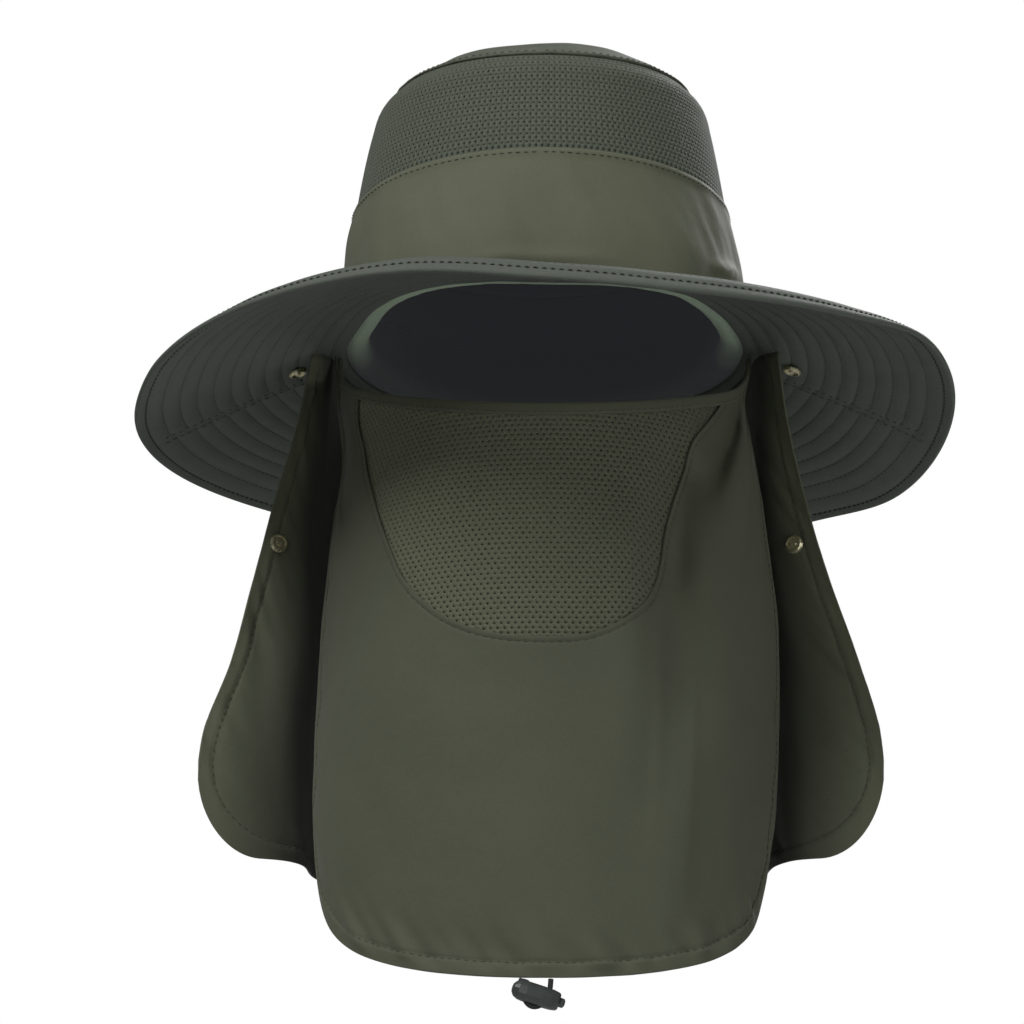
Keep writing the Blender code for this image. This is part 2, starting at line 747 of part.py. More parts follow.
def make_lock(collection, cutters, plastic):
    """The cord lock: a barrel with a channel for the cord, and the sprung button in its end."""
    centre, along = lock_frame()[:2]
    half = LOCK_LENGTH / 2
    bore = BUTTON_RADIUS + GAP
    chamber = BUTTON_RADIUS + BUTTON_FLANGE + GAP
    lip = half - BUTTON_WALL
    chamber_end = lip - BUTTON_TRAVEL - BUTTON_WALL - GAP * 2
    barrel_profile = [
        (0.0, chamber_end),
        (chamber, chamber_end),
        (chamber, lip),
        (bore, lip),
        (bore, half),
        (LOCK_RADIUS * 0.70, half),
        (LOCK_RADIUS * 0.86, half * 0.93),
        (LOCK_RADIUS * 0.96, half * 0.70),
        (LOCK_RADIUS, half * 0.30),
        (LOCK_RADIUS, half * -0.35),
        (LOCK_RADIUS * 0.93, half * -0.68),
        (LOCK_RADIUS * 0.70, half * -0.88),
        (LOCK_RADIUS * 0.36, half * -0.98),
        (0.0, -half),
    ]
    barrel = turned("lock_barrel", barrel_profile, LOCK_SIDES, collection, plastic)
    barrel.matrix_world = facing(centre, along)

    channel_radius = CORD_RADIUS + CORD_CLEARANCE
    tube = add_tube("cord_channel", smooth_route(cord_route(), CORD_POINTS), channel_radius, cutters, None)
    channel = tube_to_mesh(tube, cutters)
    channel.hide_render = True
    channel.display_type = "WIRE"
    cut = barrel.modifiers.new("Cord channel", "BOOLEAN")
    cut.operation = "DIFFERENCE"
    cut.object = channel

    rest = lip - GAP
    tip = half + BUTTON_PROUD
    button_profile = [
        (0.0, tip),
        (BUTTON_RADIUS * 0.6, tip - BUTTON_WALL * 0.15),
        (BUTTON_RADIUS, tip - BUTTON_WALL),
        (BUTTON_RADIUS, rest),
        (BUTTON_RADIUS + BUTTON_FLANGE, rest),
        (BUTTON_RADIUS + BUTTON_FLANGE, rest - BUTTON_WALL),
        (0.0, rest - BUTTON_WALL),
    ]
    button = turned("lock_button", button_profile, LOCK_SIDES, collection, plastic)
    button.matrix_world = facing(centre, along)


def main():
    """Build the hat."""
    empty_the_scene()
    hat = new_collection("flap_sun_hat")
    cutters = new_collection("cutters")
    cloth = new_material("olive cloth", OLIVE, 0.85)
    mesh_cloth = new_material("olive mesh", OLIVE_MESH, 0.9)
    pale_cloth = new_material("pale olive tape", PALE_OLIVE, 0.8)
    metal = new_material("aged brass", BRASS, 0.35, 1.0)
    plastic = new_material("dark plastic", DARK_PLASTIC, 0.4)
    elastic = new_material("black elastic", CORD_BLACK, 0.8)
    make_crown(hat, cloth, mesh_cloth)
    make_sweatband(hat, pale_cloth)
    make_brim(hat, cloth)
    make_flap(hat, cloth)
    make_mask(hat, cloth, mesh_cloth)
    make_snaps(hat, metal)
    make_lock(hat, cutters, plastic)
    add_tube("mask_cord", smooth_route(cord_route(), CORD_POINTS), CORD_RADIUS, hat, elastic)


main()
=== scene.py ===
# %% [markdown]
# # A sun hat with a neck flap and a face mask
#
# The hat is sewn from thin olive cloth. Its crown has a band of eyelet mesh, its brim is
# quilted in rings, a flap hangs round the neck and a mask with a mesh window hangs in front
# of the face. The solids of the hat are already there as a fixed frame. This lesson dresses
# them: it makes the cloth, the net, the stitches and the small hard parts that the eye sees.

# %% Load the frame
import math
from collections import namedtuple
from functools import lru_cache

import bmesh
import bpy
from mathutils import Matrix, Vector, noise
from mathutils.bvhtree import BVHTree
from mathutils.kdtree import KDTree


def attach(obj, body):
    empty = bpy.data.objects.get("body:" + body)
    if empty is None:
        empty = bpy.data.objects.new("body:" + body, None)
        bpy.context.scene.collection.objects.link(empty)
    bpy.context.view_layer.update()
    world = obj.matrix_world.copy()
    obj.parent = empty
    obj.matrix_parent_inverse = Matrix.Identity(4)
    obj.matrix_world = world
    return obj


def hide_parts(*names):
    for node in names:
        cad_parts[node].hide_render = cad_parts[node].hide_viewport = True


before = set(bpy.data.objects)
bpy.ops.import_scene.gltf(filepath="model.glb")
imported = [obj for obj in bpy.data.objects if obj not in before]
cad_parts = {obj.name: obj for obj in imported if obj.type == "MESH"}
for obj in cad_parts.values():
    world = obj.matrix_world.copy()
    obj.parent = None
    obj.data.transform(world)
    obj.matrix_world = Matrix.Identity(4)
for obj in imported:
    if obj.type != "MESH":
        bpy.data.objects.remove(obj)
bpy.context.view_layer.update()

# %% [markdown]
# ## The camera
#
# The picture was taken from about 16 degrees below the brim, with a long lens from almost
# two metres away. A long lens keeps the sides of the hat from spreading. The camera aims a
# little below the head opening, so that brim and hem both fit in the square frame.

# %% Camera
VIEW_RISE = math.radians(16.0)
VIEW_DISTANCE = 1.9
PIXEL = 0.00044
FRAME_PIXELS = 1024
SENSOR = 36.0
AIM = Vector((-33 * PIXEL, 0.0, -162 * PIXEL / math.cos(VIEW_RISE)))


def add_object(name, data):
    """An object of the scene that shows a mesh, a curve, a lamp or a camera."""
    item = bpy.data.objects.new(name, data)
    bpy.context.scene.collection.objects.link(item)
    return item


look = Vector((0.0, math.cos(VIEW_RISE), math.sin(VIEW_RISE)))
camera_data = bpy.data.cameras.new("camera")
camera_data.sensor_width = SENSOR
camera_data.lens = SENSOR * VIEW_DISTANCE / (FRAME_PIXELS * PIXEL)
camera = add_object("camera", camera_data)
camera.location = AIM - look * VIEW_DISTANCE
camera.rotation_euler = look.to_track_quat("-Z", "Y").to_euler()
bpy.context.scene.camera = camera
print("lens", round(camera_data.lens, 1), "mm at", [round(value, 3) for value in camera.location])

# %% [markdown]
# ## Curves through a few rows
#
# Cloth shapes change smoothly. Each one is given by a short table of named columns, and a
# smooth curve is read through its rows, so that a shape can be changed by changing one row.

# %% Helpers for smooth shapes
UP = Vector((0.0, 0.0, 1.0))


def table(columns, rows):
    """A table whose columns are named once."""
    row_kind = namedtuple("Row", columns)
    return tuple(row_kind(*row) for row in rows)


@lru_cache(maxsize=None)
def read_table(rows, name, column, value):
    """Read a column of a table on a smooth curve through its rows."""
    keys = [getattr(row, name) for row in rows]
    values = [getattr(row, column) for row in rows]
    value = min(max(value, keys[0]), keys[-1])
    last = len(rows) - 2
    index = min(sum(1 for key in keys[1:] if key < value), last)
    span = keys[index + 1] - keys[index]
    share = (value - keys[index]) / span
    before, after = max(index - 1, 0), min(index + 2, last + 1)
    slope_in = (values[index + 1] - values[before]) / (keys[index + 1] - keys[before]) * span
    slope_out = (values[after] - values[index]) / (keys[after] - keys[index]) * span
    cubic = 2 * share ** 3 - 3 * share ** 2
    return (
        values[index] * (1 + cubic)
        - values[index + 1] * cubic
        + slope_in * (share ** 3 - 2 * share ** 2 + share)
        + slope_out * (share ** 3 - share ** 2)
    )


def mix(start, end, share):
    """The value that lies a share of the way from start to end."""
    return start + (end - start) * share


def ease(value):
    """A share from 0 to 1 with soft ends."""
    value = min(max(value, 0.0), 1.0)
    return value * value * (3 - 2 * value)


def oval(half_width, half_length, azimuth):
    """A point of an oval in the plan: azimuth 0 is the front and 90 the +X side."""
    angle = math.radians(azimuth)
    return half_width * math.sin(angle), -half_length * math.cos(angle)


def rough(x, y, seed):
    """Smooth noise from about -1 to 1 that depends on two coordinates and a seed."""
    return noise.noise(Vector((x, y, seed * 7.31)))


def rough_round(turn, scale, seed, rise=0.0):
    """Smooth noise at a share of a whole turn, which meets itself after the turn."""
    return rough(math.cos(math.tau * turn) * scale, math.sin(math.tau * turn) * scale + rise, seed)


# %% [markdown]
# ## The shape of the face mask
#
# The mask is one piece of cloth that hangs from the temples and bows out before the face. A
# place on it is given by two numbers: how far across it lies, from -1 to 1, and how far down
# from its upper edge, from 0 to 1. Soft folds run from its right corner down to its middle.

# %% Mask surface
GAP = 0.0003
MASK_CORNER_DROP = 0.0043
MASK_CORNER_RUN = 0.07
MASK_TOP_DROP = 0.0135
MASK_LENGTH = 0.2845
MASK_SAG = 0.0462
MASK_SAG_POWER = 2.05
MASK_HALF_WIDTH = 0.0980
MASK_DEPTH = 0.1150
MASK_SIDE_ANGLE = 84.0
MASK_HEM_RISE = 0.0685
MASK_HEM_POWER = 2.1
MASK_SIDE_RUN = 0.32
MASK_FOLD = 0.0080
FOLD_FADE_IN = 0.25
FOLD_FADE_OUT = 0.45

MASK_ROWS = table("level left right side middle", (
    (0.00, 0.940, 0.915, 0.04, 1.00),
    (0.05, 0.926, 0.890, 0.08, 1.00),
    (0.16, 0.895, 0.930, 0.16, 0.99),
    (0.25, 0.930, 0.962, 0.20, 0.98),
    (0.43, 0.975, 1.010, 0.25, 0.95),
    (0.70, 1.000, 0.985, 0.29, 0.90),
    (0.85, 0.976, 0.930, 0.30, 0.87),
    (1.00, 0.977, 0.930, 0.30, 0.85),
))
FOLD_FIELDS = "from_side from_drop to_side to_drop depth width"
MASK_FOLDS = table(FOLD_FIELDS, (
    (0.97, 0.00, 0.40, 0.17, -1.2, 0.07),
    (0.47, 0.05, 0.32, 0.38, -1.2, 0.08),
    (0.32, 0.24, 0.52, 0.66, -1.0, 0.09),
    (0.96, 0.06, 0.50, 0.30, 1.1, 0.09),
    (0.44, 0.40, 0.40, 1.10, 0.35, 0.09),
    (-0.95, 0.03, -0.76, 0.24, 0.8, 0.07),
    (-0.97, 0.14, -0.66, 0.30, -0.7, 0.06),
    (0.22, 0.16, 0.27, 0.74, 0.6, 0.09),
    (0.97, 0.03, 0.52, 0.22, 0.40, 0.030),
    (0.97, 0.05, 0.60, 0.38, -0.40, 0.035),
    (0.97, 0.09, 0.72, 0.46, 0.30, 0.035),
    (-0.97, 0.04, -0.78, 0.30, -0.35, 0.030),
    (0.33, 0.26, 0.335, 0.90, 0.10, 0.024),
    (0.45, 0.40, 0.455, 1.00, 0.09, 0.022),
))


def mask_hem(side):
    """The height of the mask's hem, rising to its round corners."""
    rise = MASK_HEM_RISE * (1 - math.sqrt(1 - min(abs(side), 1.0) ** MASK_HEM_POWER))
    return -MASK_TOP_DROP - MASK_LENGTH + rise


def mask_top(side):
    """The height of the mask's upper edge, which sags between the corners under the brim."""
    sag = MASK_SAG * (1 - abs(side) ** MASK_SAG_POWER)
    pulled_up = ease((abs(side) - 1 + MASK_CORNER_RUN) / MASK_CORNER_RUN)
    return -mix(MASK_TOP_DROP + sag, MASK_CORNER_DROP, pulled_up)


def fold_height(folds, side, drop):
    """How far folds lift the cloth at a place, as a share of a fold's full depth."""
    lift = 0.0
    for fold in folds:
        run = Vector((fold.to_side - fold.from_side, fold.to_drop - fold.from_drop))
        place = Vector((side - fold.from_side, drop - fold.from_drop))
        along = place.dot(run) / run.length_squared
        across = (place - run * along).length / fold.width
        if across < 3:
            fade = ease(along / FOLD_FADE_IN) * ease((1 - along) / FOLD_FADE_OUT)
            lift += fold.depth * fade * math.exp(-across ** 2)
    return lift


def mask_point(side, drop):
    """A point in the middle of the mask's cloth."""
    height = mix(mask_top(side), mask_hem(side), drop)
    level = (-MASK_TOP_DROP - height) / MASK_LENGTH
    half_width = MASK_HALF_WIDTH * read_table(MASK_ROWS, "level", "left" if side < 0 else "right", level)
    side_reach = MASK_DEPTH * read_table(MASK_ROWS, "level", "side", level)
    middle_reach = MASK_DEPTH * read_table(MASK_ROWS, "level", "middle", level)
    end = math.radians(MASK_SIDE_ANGLE)
    bow = (math.cos(side * end) - math.cos(end)) / (1 - math.cos(end))
    x = half_width * math.sin(side * end) / math.sin(end)
    reach = mix(side_reach, middle_reach, bow) + MASK_FOLD * fold_height(MASK_FOLDS, side, drop)
    return Vector((x, -reach, height))


print("middle of the mask's hem:", [round(value, 4) for value in mask_point(0.0, 1.0)])

# %% [markdown]
# ## The elastic cord
#
# A thin round elastic comes out of the mask's hem, turns inside a cord lock and goes back up
# into the hem. Pulled through the lock, it gathers the hem below the chin. It is a curve with
# a round bevel, so that it keeps its thickness along the whole turn.

# %% Cord
CORD_RADIUS = 0.0011
CORD_LEFT_EXIT = -0.0116
CORD_RIGHT_EXIT = 0.0012
CORD_STEPS = 64
CORD_ROUNDNESS = 4
LOCK_LENGTH = 0.0200
LOCK_RADIUS = 0.0044
LOCK_TILT = math.radians(18.0)
LOCK_DROP = 0.0068
LOCK_SHIFT = -0.0050

CORD_WAY = table("run rise", (
    (-0.47, 0.82),
    (-0.46, 0.34),
    (-0.44, -0.18),
    (-0.34, -0.73),
    (-0.15, -1.07),
    (0.08, -1.11),
    (0.30, -0.82),
    (0.43, -0.27),
    (0.47, 0.34),
    (0.48, 0.91),
))

hem_middle = mask_point(0.0, 1.0)
lock_centre = hem_middle + Vector((LOCK_SHIFT, 0.0, -LOCK_DROP))
lock_along = Vector((math.cos(LOCK_TILT), 0.0, -math.sin(LOCK_TILT)))
lock_across = Vector((math.sin(LOCK_TILT), 0.0, math.cos(LOCK_TILT)))


def cord_exit(across, towards):
    """The end of the cord where it leaves the mask's hem on its way towards a point."""
    hem = mask_point(across / MASK_HALF_WIDTH, 1.0)
    run = (towards - Vector((across, hem.y, hem.z))).normalized()
    return Vector((across, hem.y, hem.z - GAP - CORD_RADIUS * math.hypot(run.x, run.y)))


def smooth_route(points, count):
    """Points on a smooth curve through the route's own points."""
    curve = []
    padded = [points[0] * 2 - points[1]] + points + [points[-1] * 2 - points[-2]]
    for step in range(count + 1):
        place = step / count * (len(points) - 1)
        index = min(int(place), len(points) - 2)
        share = place - index
        before, start, end, after = padded[index:index + 4]
        curve.append(0.5 * (
            start * 2
            + (end - before) * share
            + (before * 2 - start * 5 + end * 4 - after) * share ** 2
            + (start * 3 - before - end * 3 + after) * share ** 3
        ))
    return curve


def new_curve(name, radius, roundness):
    """An empty curve with a round bevel and closed ends."""
    data = bpy.data.curves.new(name, "CURVE")
    data.dimensions = "3D"
    data.bevel_depth = radius
    data.bevel_resolution = roundness
    data.use_fill_caps = True
    return data


def add_run(curve, points, radii):
    """Add a run through points to a curve, with a share of its radius at each of them."""
    spline = curve.splines.new("POLY")
    spline.points.add(len(points) - 1)
    for item, point, radius in zip(spline.points, points, radii):
        item.co = (*point, 1.0)
        item.radius = radius


inside_lock = [
    lock_centre + lock_along * point.run * LOCK_LENGTH / 2 + lock_across * point.rise * LOCK_RADIUS
    for point in CORD_WAY
]
cord_ends = [cord_exit(CORD_LEFT_EXIT, inside_lock[0]), cord_exit(CORD_RIGHT_EXIT, inside_lock[-1])]
cord_line = smooth_route([cord_ends[0]] + inside_lock + [cord_ends[1]], CORD_STEPS)

cord_data = new_curve("elastic_cord", CORD_RADIUS, CORD_ROUNDNESS)
add_run(cord_data, cord_line, [1.0] * len(cord_line))
elastic_cord = add_object("elastic_cord", cord_data)

# %% [markdown]
# ## Cloth from a flat grid
#
# Every sheet starts as a flat grid, as cloth starts flat on the cutting table. The grid's UV
# map keeps the flat size in metres, so the weave has one scale everywhere. Then each corner
# of the grid is moved to its place in the air. A second pass lifts the cloth along its own
# normals, for hems, puckers and creases. The Solidify modifier gives it its thickness last.

# %% Helpers for sheets
WELD = 0.00001


def bent_grid(columns, rows, size, place, detail=None, crowd=None):
    """A flat grid, UV mapped in metres, bent to place(u, v) and then lifted by detail(u, v).

    Its rows may be crowded together with crowd(v), where the sheet has fine relief.
    """
    sheet = bmesh.new()
    weave = sheet.loops.layers.uv.new("weave")
    bmesh.ops.create_grid(sheet, x_segments=columns, y_segments=rows, size=0.5)
    flat = {}
    for vert in sheet.verts:
        row = vert.co.y + 0.5
        flat[vert] = (vert.co.x + 0.5, crowd(row) if crowd else row)
    for face in sheet.faces:
        for loop in face.loops:
            u, v = flat[loop.vert]
            loop[weave].uv = (u * size[0], v * size[1])
    for vert, (u, v) in flat.items():
        vert.co = place(u, v)
    bmesh.ops.remove_doubles(sheet, verts=sheet.verts, dist=WELD)
    if detail:
        sheet.normal_update()
        lifts = {vert: vert.normal * detail(u, v) for vert, (u, v) in flat.items() if vert.is_valid}
        for vert, lift in lifts.items():
            vert.co += lift
    return sheet


def new_piece(name, shape, materials, body="hat"):
    """A smooth object from a bmesh, with its materials, that moves with a body of the frame."""
    data = bpy.data.meshes.new(name)
    shape.to_mesh(data)
    shape.free()
    data.shade_smooth()
    for material in materials:
        data.materials.append(material)
    piece = add_object(name, data)
    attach(piece, body)
    print(name, len(data.polygons), "faces")
    return piece


def add_wall(piece, wall, offset, two_sided=False):
    """Give an open sheet its thickness; one with two materials has its second material on the inside."""
    solidify = piece.modifiers.new("Wall", "SOLIDIFY")
    solidify.thickness = wall
    solidify.offset = offset
    solidify.material_offset = 1 if two_sided else 0
    return solidify


# %% [markdown]
# ## Shared effects for the materials
#
# Two effects are used by more than one finish, so each is a node group. The first is a plain
# weave: warp and weft threads cross over and under each other. It reads the sheet's own UV
# map in metres. The second is soft unevenness of dye and surface, which reads Object
# coordinates so that it runs on across the seams.

# %% Node groups


def new_group(name, inputs, outputs):
    """An empty shader node group with named float inputs and named outputs."""
    group = bpy.data.node_groups.new(name, "ShaderNodeTree")
    for label, value in inputs:
        socket = group.interface.new_socket(label, in_out="INPUT", socket_type="NodeSocketFloat")
        socket.default_value = value
    for label, kind in outputs:
        group.interface.new_socket(label, in_out="OUTPUT", socket_type=kind)
    start = group.nodes.new("NodeGroupInput")
    end = group.nodes.new("NodeGroupOutput")
    return group, start, end


def add_node(tree, kind, **settings):
    """A node with its settings."""
    item = tree.nodes.new(kind)
    for key, value in settings.items():
        setattr(item, key, value)
    return item


def maths(tree, operation, first, second=None):
    """A Math node on one or two values, each a socket or a number."""
    item = add_node(tree, "ShaderNodeMath", operation=operation)
    for socket, value in zip(item.inputs, (first, second)):
        if hasattr(value, "links"):
            tree.links.new(value, socket)
        elif value is not None:
            socket.default_value = value
    return item.outputs[0]


def make_weave_group():
    """Threads of a plain weave, from the UV map in metres and the threads in each metre."""
    group, start, end = new_group(
        "plain weave", [("Threads", 3200.0)], [("Height", "NodeSocketFloat")]
    )
    place = add_node(group, "ShaderNodeUVMap", uv_map="weave")
    apart = add_node(group, "ShaderNodeSeparateXYZ")
    group.links.new(place.outputs["UV"], apart.inputs[0])
    waves = []
    for axis in ("X", "Y"):
        count = maths(group, "MULTIPLY", apart.outputs[axis], start.outputs["Threads"])
        waves.append(maths(group, "SINE", maths(group, "MULTIPLY", count, math.pi)))
    product = maths(group, "MULTIPLY", waves[0], waves[1])
    height = maths(group, "MULTIPLY_ADD", product, 0.5)
    height.node.inputs[2].default_value = 0.5
    group.links.new(height, end.inputs["Height"])
    return group


def make_dye_group():
    """Soft unevenness: broad patches and a fine heather, both from 0 to 1."""
    group, start, end = new_group(
        "uneven dye",
        [("Patch Scale", 14.0), ("Heather Scale", 900.0)],
        [("Patches", "NodeSocketFloat"), ("Heather", "NodeSocketFloat")],
    )
    place = add_node(group, "ShaderNodeTexCoord")
    for label, detail in (("Patch", 3.0), ("Heather", 2.0)):
        cloud = add_node(group, "ShaderNodeTexNoise")
        cloud.inputs["Detail"].default_value = detail
        group.links.new(place.outputs["Object"], cloud.inputs["Vector"])
        group.links.new(start.outputs[label + " Scale"], cloud.inputs["Scale"])
        group.links.new(cloud.outputs["Fac"], end.inputs["Patches" if label == "Patch" else label])
    return group


weave_group = make_weave_group()
dye_group = make_dye_group()
print("node groups:", weave_group.name, "and", dye_group.name)

# %% [markdown]
# ## The finishes
#
# The cloth is a matt quick-dry weave. It has a faint sheen at grazing angles, because fine
# fibres stand up from it. Sheen, roughness and colour are set on the Principled shader, and
# the weave and dye groups only bend the normal and shade the colour. Some finishes also carry
# painted light and shade, and the insides glow faintly as painted light.

# %% Cloth finishes
OLIVE = (0.100, 0.109, 0.066)
OLIVE_NET = (0.076, 0.090, 0.062)
OLIVE_UNDER = (0.086, 0.101, 0.082)
OLIVE_TIP = (0.076, 0.087, 0.058)
OLIVE_MASK = (0.076, 0.083, 0.050)
# The tape's own pale colour, raised further as painted light on the fold.
PALE_OLIVE_WITH_PAINTED_LIGHT = (0.330, 0.440, 0.290)
# Painted shade: the inside of the crown and the seam tape are near-black where shade falls.
PAINTED_INSIDE_SHADE = (0.020, 0.021, 0.023)
# A faint painted glow for the tape and the inside of the crown.
PAINTED_INSIDE_GLOW = (0.0135, 0.0142, 0.0158)
THREAD_DARK = (0.020, 0.022, 0.016)
THREAD_OLIVE = (0.052, 0.057, 0.037)
BRASS = (0.640, 0.600, 0.400)
PLASTIC = (0.042, 0.050, 0.047)
ELASTIC = (0.018, 0.021, 0.019)


def place_group(tree, group, **values):
    """A node group placed in a material with its own values."""
    item = add_node(tree, "ShaderNodeGroup", node_tree=group)
    for label, value in values.items():
        item.inputs[label.replace("_", " ")].default_value = value
    return item


def new_material(name, colour, roughness, metallic=0.0, sheen=0.0):
    """A Principled material with its constant values, its tree and its shader."""
    material = bpy.data.materials.new(name)
    material.use_nodes = True
    tree = material.node_tree
    shader = tree.nodes["Principled BSDF"]
    shader.inputs["Base Color"].default_value = (*colour, 1.0)
    shader.inputs["Roughness"].default_value = roughness
    shader.inputs["Metallic"].default_value = metallic
    shader.inputs["Sheen Weight"].default_value = sheen
    shader.inputs["Sheen Roughness"].default_value = 0.5
    return material, tree, shader


def shade_colour(tree, shader, colour, masks):
    """Shade a colour by masks: each has a socket from 0 to 1, and how dark and how light it gets."""
    result = None
    for mask, darkest, lightest in masks:
        span = add_node(tree, "ShaderNodeMapRange")
        span.inputs["To Min"].default_value = darkest
        span.inputs["To Max"].default_value = lightest
        tree.links.new(mask, span.inputs["Value"])
        factor = span.outputs["Result"]
        result = maths(tree, "MULTIPLY", result, factor) if result else factor
    tint = add_node(tree, "ShaderNodeVectorMath", operation="SCALE")
    tint.inputs[0].default_value = colour
    tree.links.new(result, tint.inputs["Scale"])
    tree.links.new(tint.outputs["Vector"], shader.inputs["Base Color"])


def add_bump(tree, shader, height, distance, strength=1.0):
    """A bump from a height, on top of any bump that is already there."""
    bump = add_node(tree, "ShaderNodeBump")
    bump.inputs["Distance"].default_value = distance
    bump.inputs["Strength"].default_value = strength
    tree.links.new(height, bump.inputs["Height"])
    if shader.inputs["Normal"].links:
        tree.links.new(shader.inputs["Normal"].links[0].from_socket, bump.inputs["Normal"])
    tree.links.new(bump.outputs["Normal"], shader.inputs["Normal"])


# A painted change of light and shade across a sheet: between two distances from a line on its UV map
Fade = namedtuple("Fade", "axis line start end first last")


# A kind of cloth: threads in each metre, and how fine the patches of its dye are
Cloth = namedtuple("Cloth", "roughness sheen threads patch_scale")
WOVEN = Cloth(0.78, 0.08, 3200.0, 14.0)
KNITTED = Cloth(0.85, 0.10, 2400.0, 20.0)
TAPE = Cloth(0.80, 0.10, 2000.0, 25.0)
INSIDE_WEAVE = Cloth(0.90, 0.0, 2400.0, 20.0)
YARN = Cloth(0.70, 0.10, 9000.0, 60.0)
KNIT_RIB = 0.0058
CREASE_SCALE = 38.0
CREASE_DEPTH = 0.0022
WEAVE_DEPTH = 0.00006


def cloth_material(name, colour, kind, fades=(), ribs=None):
    """Cloth with uneven dye, threads and creases, perhaps with fades of painted light and shade or the
    ribs of a knit.
    """
    material, tree, shader = new_material(name, colour, kind.roughness, sheen=kind.sheen)
    weave = place_group(tree, weave_group, Threads=kind.threads)
    dye = place_group(tree, dye_group, Patch_Scale=kind.patch_scale)
    masks = [
        (dye.outputs["Patches"], 0.86, 1.14),
        (dye.outputs["Heather"], 0.88, 1.12),
        (weave.outputs["Height"], 0.90, 1.06),
    ]
    if fades or ribs:
        sheet_place = add_node(tree, "ShaderNodeUVMap", uv_map="weave")
        sheet_apart = add_node(tree, "ShaderNodeSeparateXYZ")
        tree.links.new(sheet_place.outputs["UV"], sheet_apart.inputs[0])
    for fade in fades:
        beside = maths(tree, "SUBTRACT", sheet_apart.outputs[fade.axis], fade.line)
        away = maths(tree, "ABSOLUTE", beside)
        depth = add_node(tree, "ShaderNodeMapRange")
        depth.inputs["From Min"].default_value = fade.start
        depth.inputs["From Max"].default_value = fade.end
        tree.links.new(away, depth.inputs["Value"])
        masks.append((depth.outputs["Result"], fade.first, fade.last))
    if ribs:
        rib = maths(tree, "SINE", maths(tree, "MULTIPLY", sheet_apart.outputs["X"], math.tau / ribs))
        masks.append((maths(tree, "MULTIPLY", rib, rib), 0.78, 1.15))
    shade_colour(tree, shader, colour, masks)
    place = add_node(tree, "ShaderNodeTexCoord")
    crease = add_node(tree, "ShaderNodeTexNoise")
    crease.inputs["Scale"].default_value = CREASE_SCALE
    crease.inputs["Detail"].default_value = 4.0
    crease.inputs["Roughness"].default_value = 0.45
    tree.links.new(place.outputs["Object"], crease.inputs["Vector"])
    add_bump(tree, shader, crease.outputs["Fac"], CREASE_DEPTH, 0.55)
    add_bump(tree, shader, weave.outputs["Height"], WEAVE_DEPTH, 0.6)
    return material


olive_cloth = cloth_material("olive cloth", OLIVE, WOVEN)
tip_cloth = cloth_material("olive tip cloth", OLIVE_TIP, WOVEN)
brim_cloth = cloth_material("olive brim cloth", OLIVE_UNDER, WOVEN)
net_cloth = cloth_material("olive net", OLIVE_NET, KNITTED, ribs=KNIT_RIB)
mask_cloth = cloth_material("olive mask cloth", OLIVE_MASK, WOVEN)
# Painted light and shade: the mask's net is lighter at its left and darker towards its right.
window_painted_shade = Fade("X", 0.0, 0.05, 0.19, 1.20, 0.72)
mask_net_with_painted_shade = cloth_material("olive mask net with painted shade", OLIVE, KNITTED, [window_painted_shade])
# Painted shade: this flap finish is darker everywhere but near the front edges, for the shade behind the
# mask and inside the flap.
flap_painted_shade = Fade("X", 0.26, 0.205, 0.243, 0.30, 1.0)
flap_inside_with_painted_shade = cloth_material("olive cloth inside with painted shade", OLIVE, WOVEN, [flap_painted_shade])
# Painted shade: the tape darkens up inside the crown and towards the back.
tape_painted_shade = [Fade("Y", 0.0, 0.013, 0.021, 1.0, 0.06), Fade("X", 0.28, 0.118, 0.160, 0.06, 1.0)]
pale_tape_with_painted_light_and_shade = cloth_material("pale olive tape", PALE_OLIVE_WITH_PAINTED_LIGHT, TAPE, tape_painted_shade)
# Near-black painted shade for the inside of the crown and for the seam tape.
dark_inside_painted_shade = cloth_material("dark inside painted shade", PAINTED_INSIDE_SHADE, INSIDE_WEAVE)
# Painted light: the tape and the dark inside glow faintly where no lamp reaches.
for painted_glow_finish in (pale_tape_with_painted_light_and_shade, dark_inside_painted_shade):
    painted_glow_shader = painted_glow_finish.node_tree.nodes["Principled BSDF"]
    painted_glow_shader.inputs["Emission Color"].default_value = (*PAINTED_INSIDE_GLOW, 1.0)
    painted_glow_shader.inputs["Emission Strength"].default_value = 1.0
thread = cloth_material("dark thread", THREAD_DARK, YARN)
olive_thread = cloth_material("olive thread", THREAD_OLIVE, YARN)
print("cloth finishes:", [item.name for item in bpy.data.materials])

# %% [markdown]
# ## The crown
#
# The crown is a band of cloth, a band of eyelet mesh and a domed oval tip. Each piece runs
# on from the one below it, so one function reads all three from their tables. The cloth
# between the seams isn't quite even: it pulls in at the seams and swells in soft waves.

# %% Crown shape
HEAD_HALF_WIDTH = 0.0820
HEAD_HALF_LENGTH = 0.0940
SWEATBAND_FOLD = 0.0060
CROWN_WALL = 0.0015
SEAM_GAP = 0.0008
BAND_HEIGHT = 0.0605
MESH_HEIGHT = 0.0500
TIP_HEIGHT = 0.0180
SIDE_RISE = 0.0085
CROWN_LEAN = -0.0015
CROWN_INNER_WIDTH = HEAD_HALF_WIDTH + SWEATBAND_FOLD + GAP
CROWN_INNER_LENGTH = HEAD_HALF_LENGTH + SWEATBAND_FOLD + GAP

SEAM_ROWS = table("azimuth bulge", (
    (-180, 0.0000),
    (-90, 0.0000),
    (-68, 0.0000),
    (-48, 0.0062),
    (-35, 0.0090),
    (-18, 0.0066),
    (0, 0.0015),
    (22, 0.0055),
    (38, 0.0078),
    (52, 0.0036),
    (70, 0.0000),
    (90, 0.0000),
    (180, 0.0000),
))


def seam_bulge(azimuth):
    """How far the opening is fuller than a plain oval, at the temples."""
    return read_table(SEAM_ROWS, "azimuth", "bulge", (azimuth + 180) % 360 - 180)


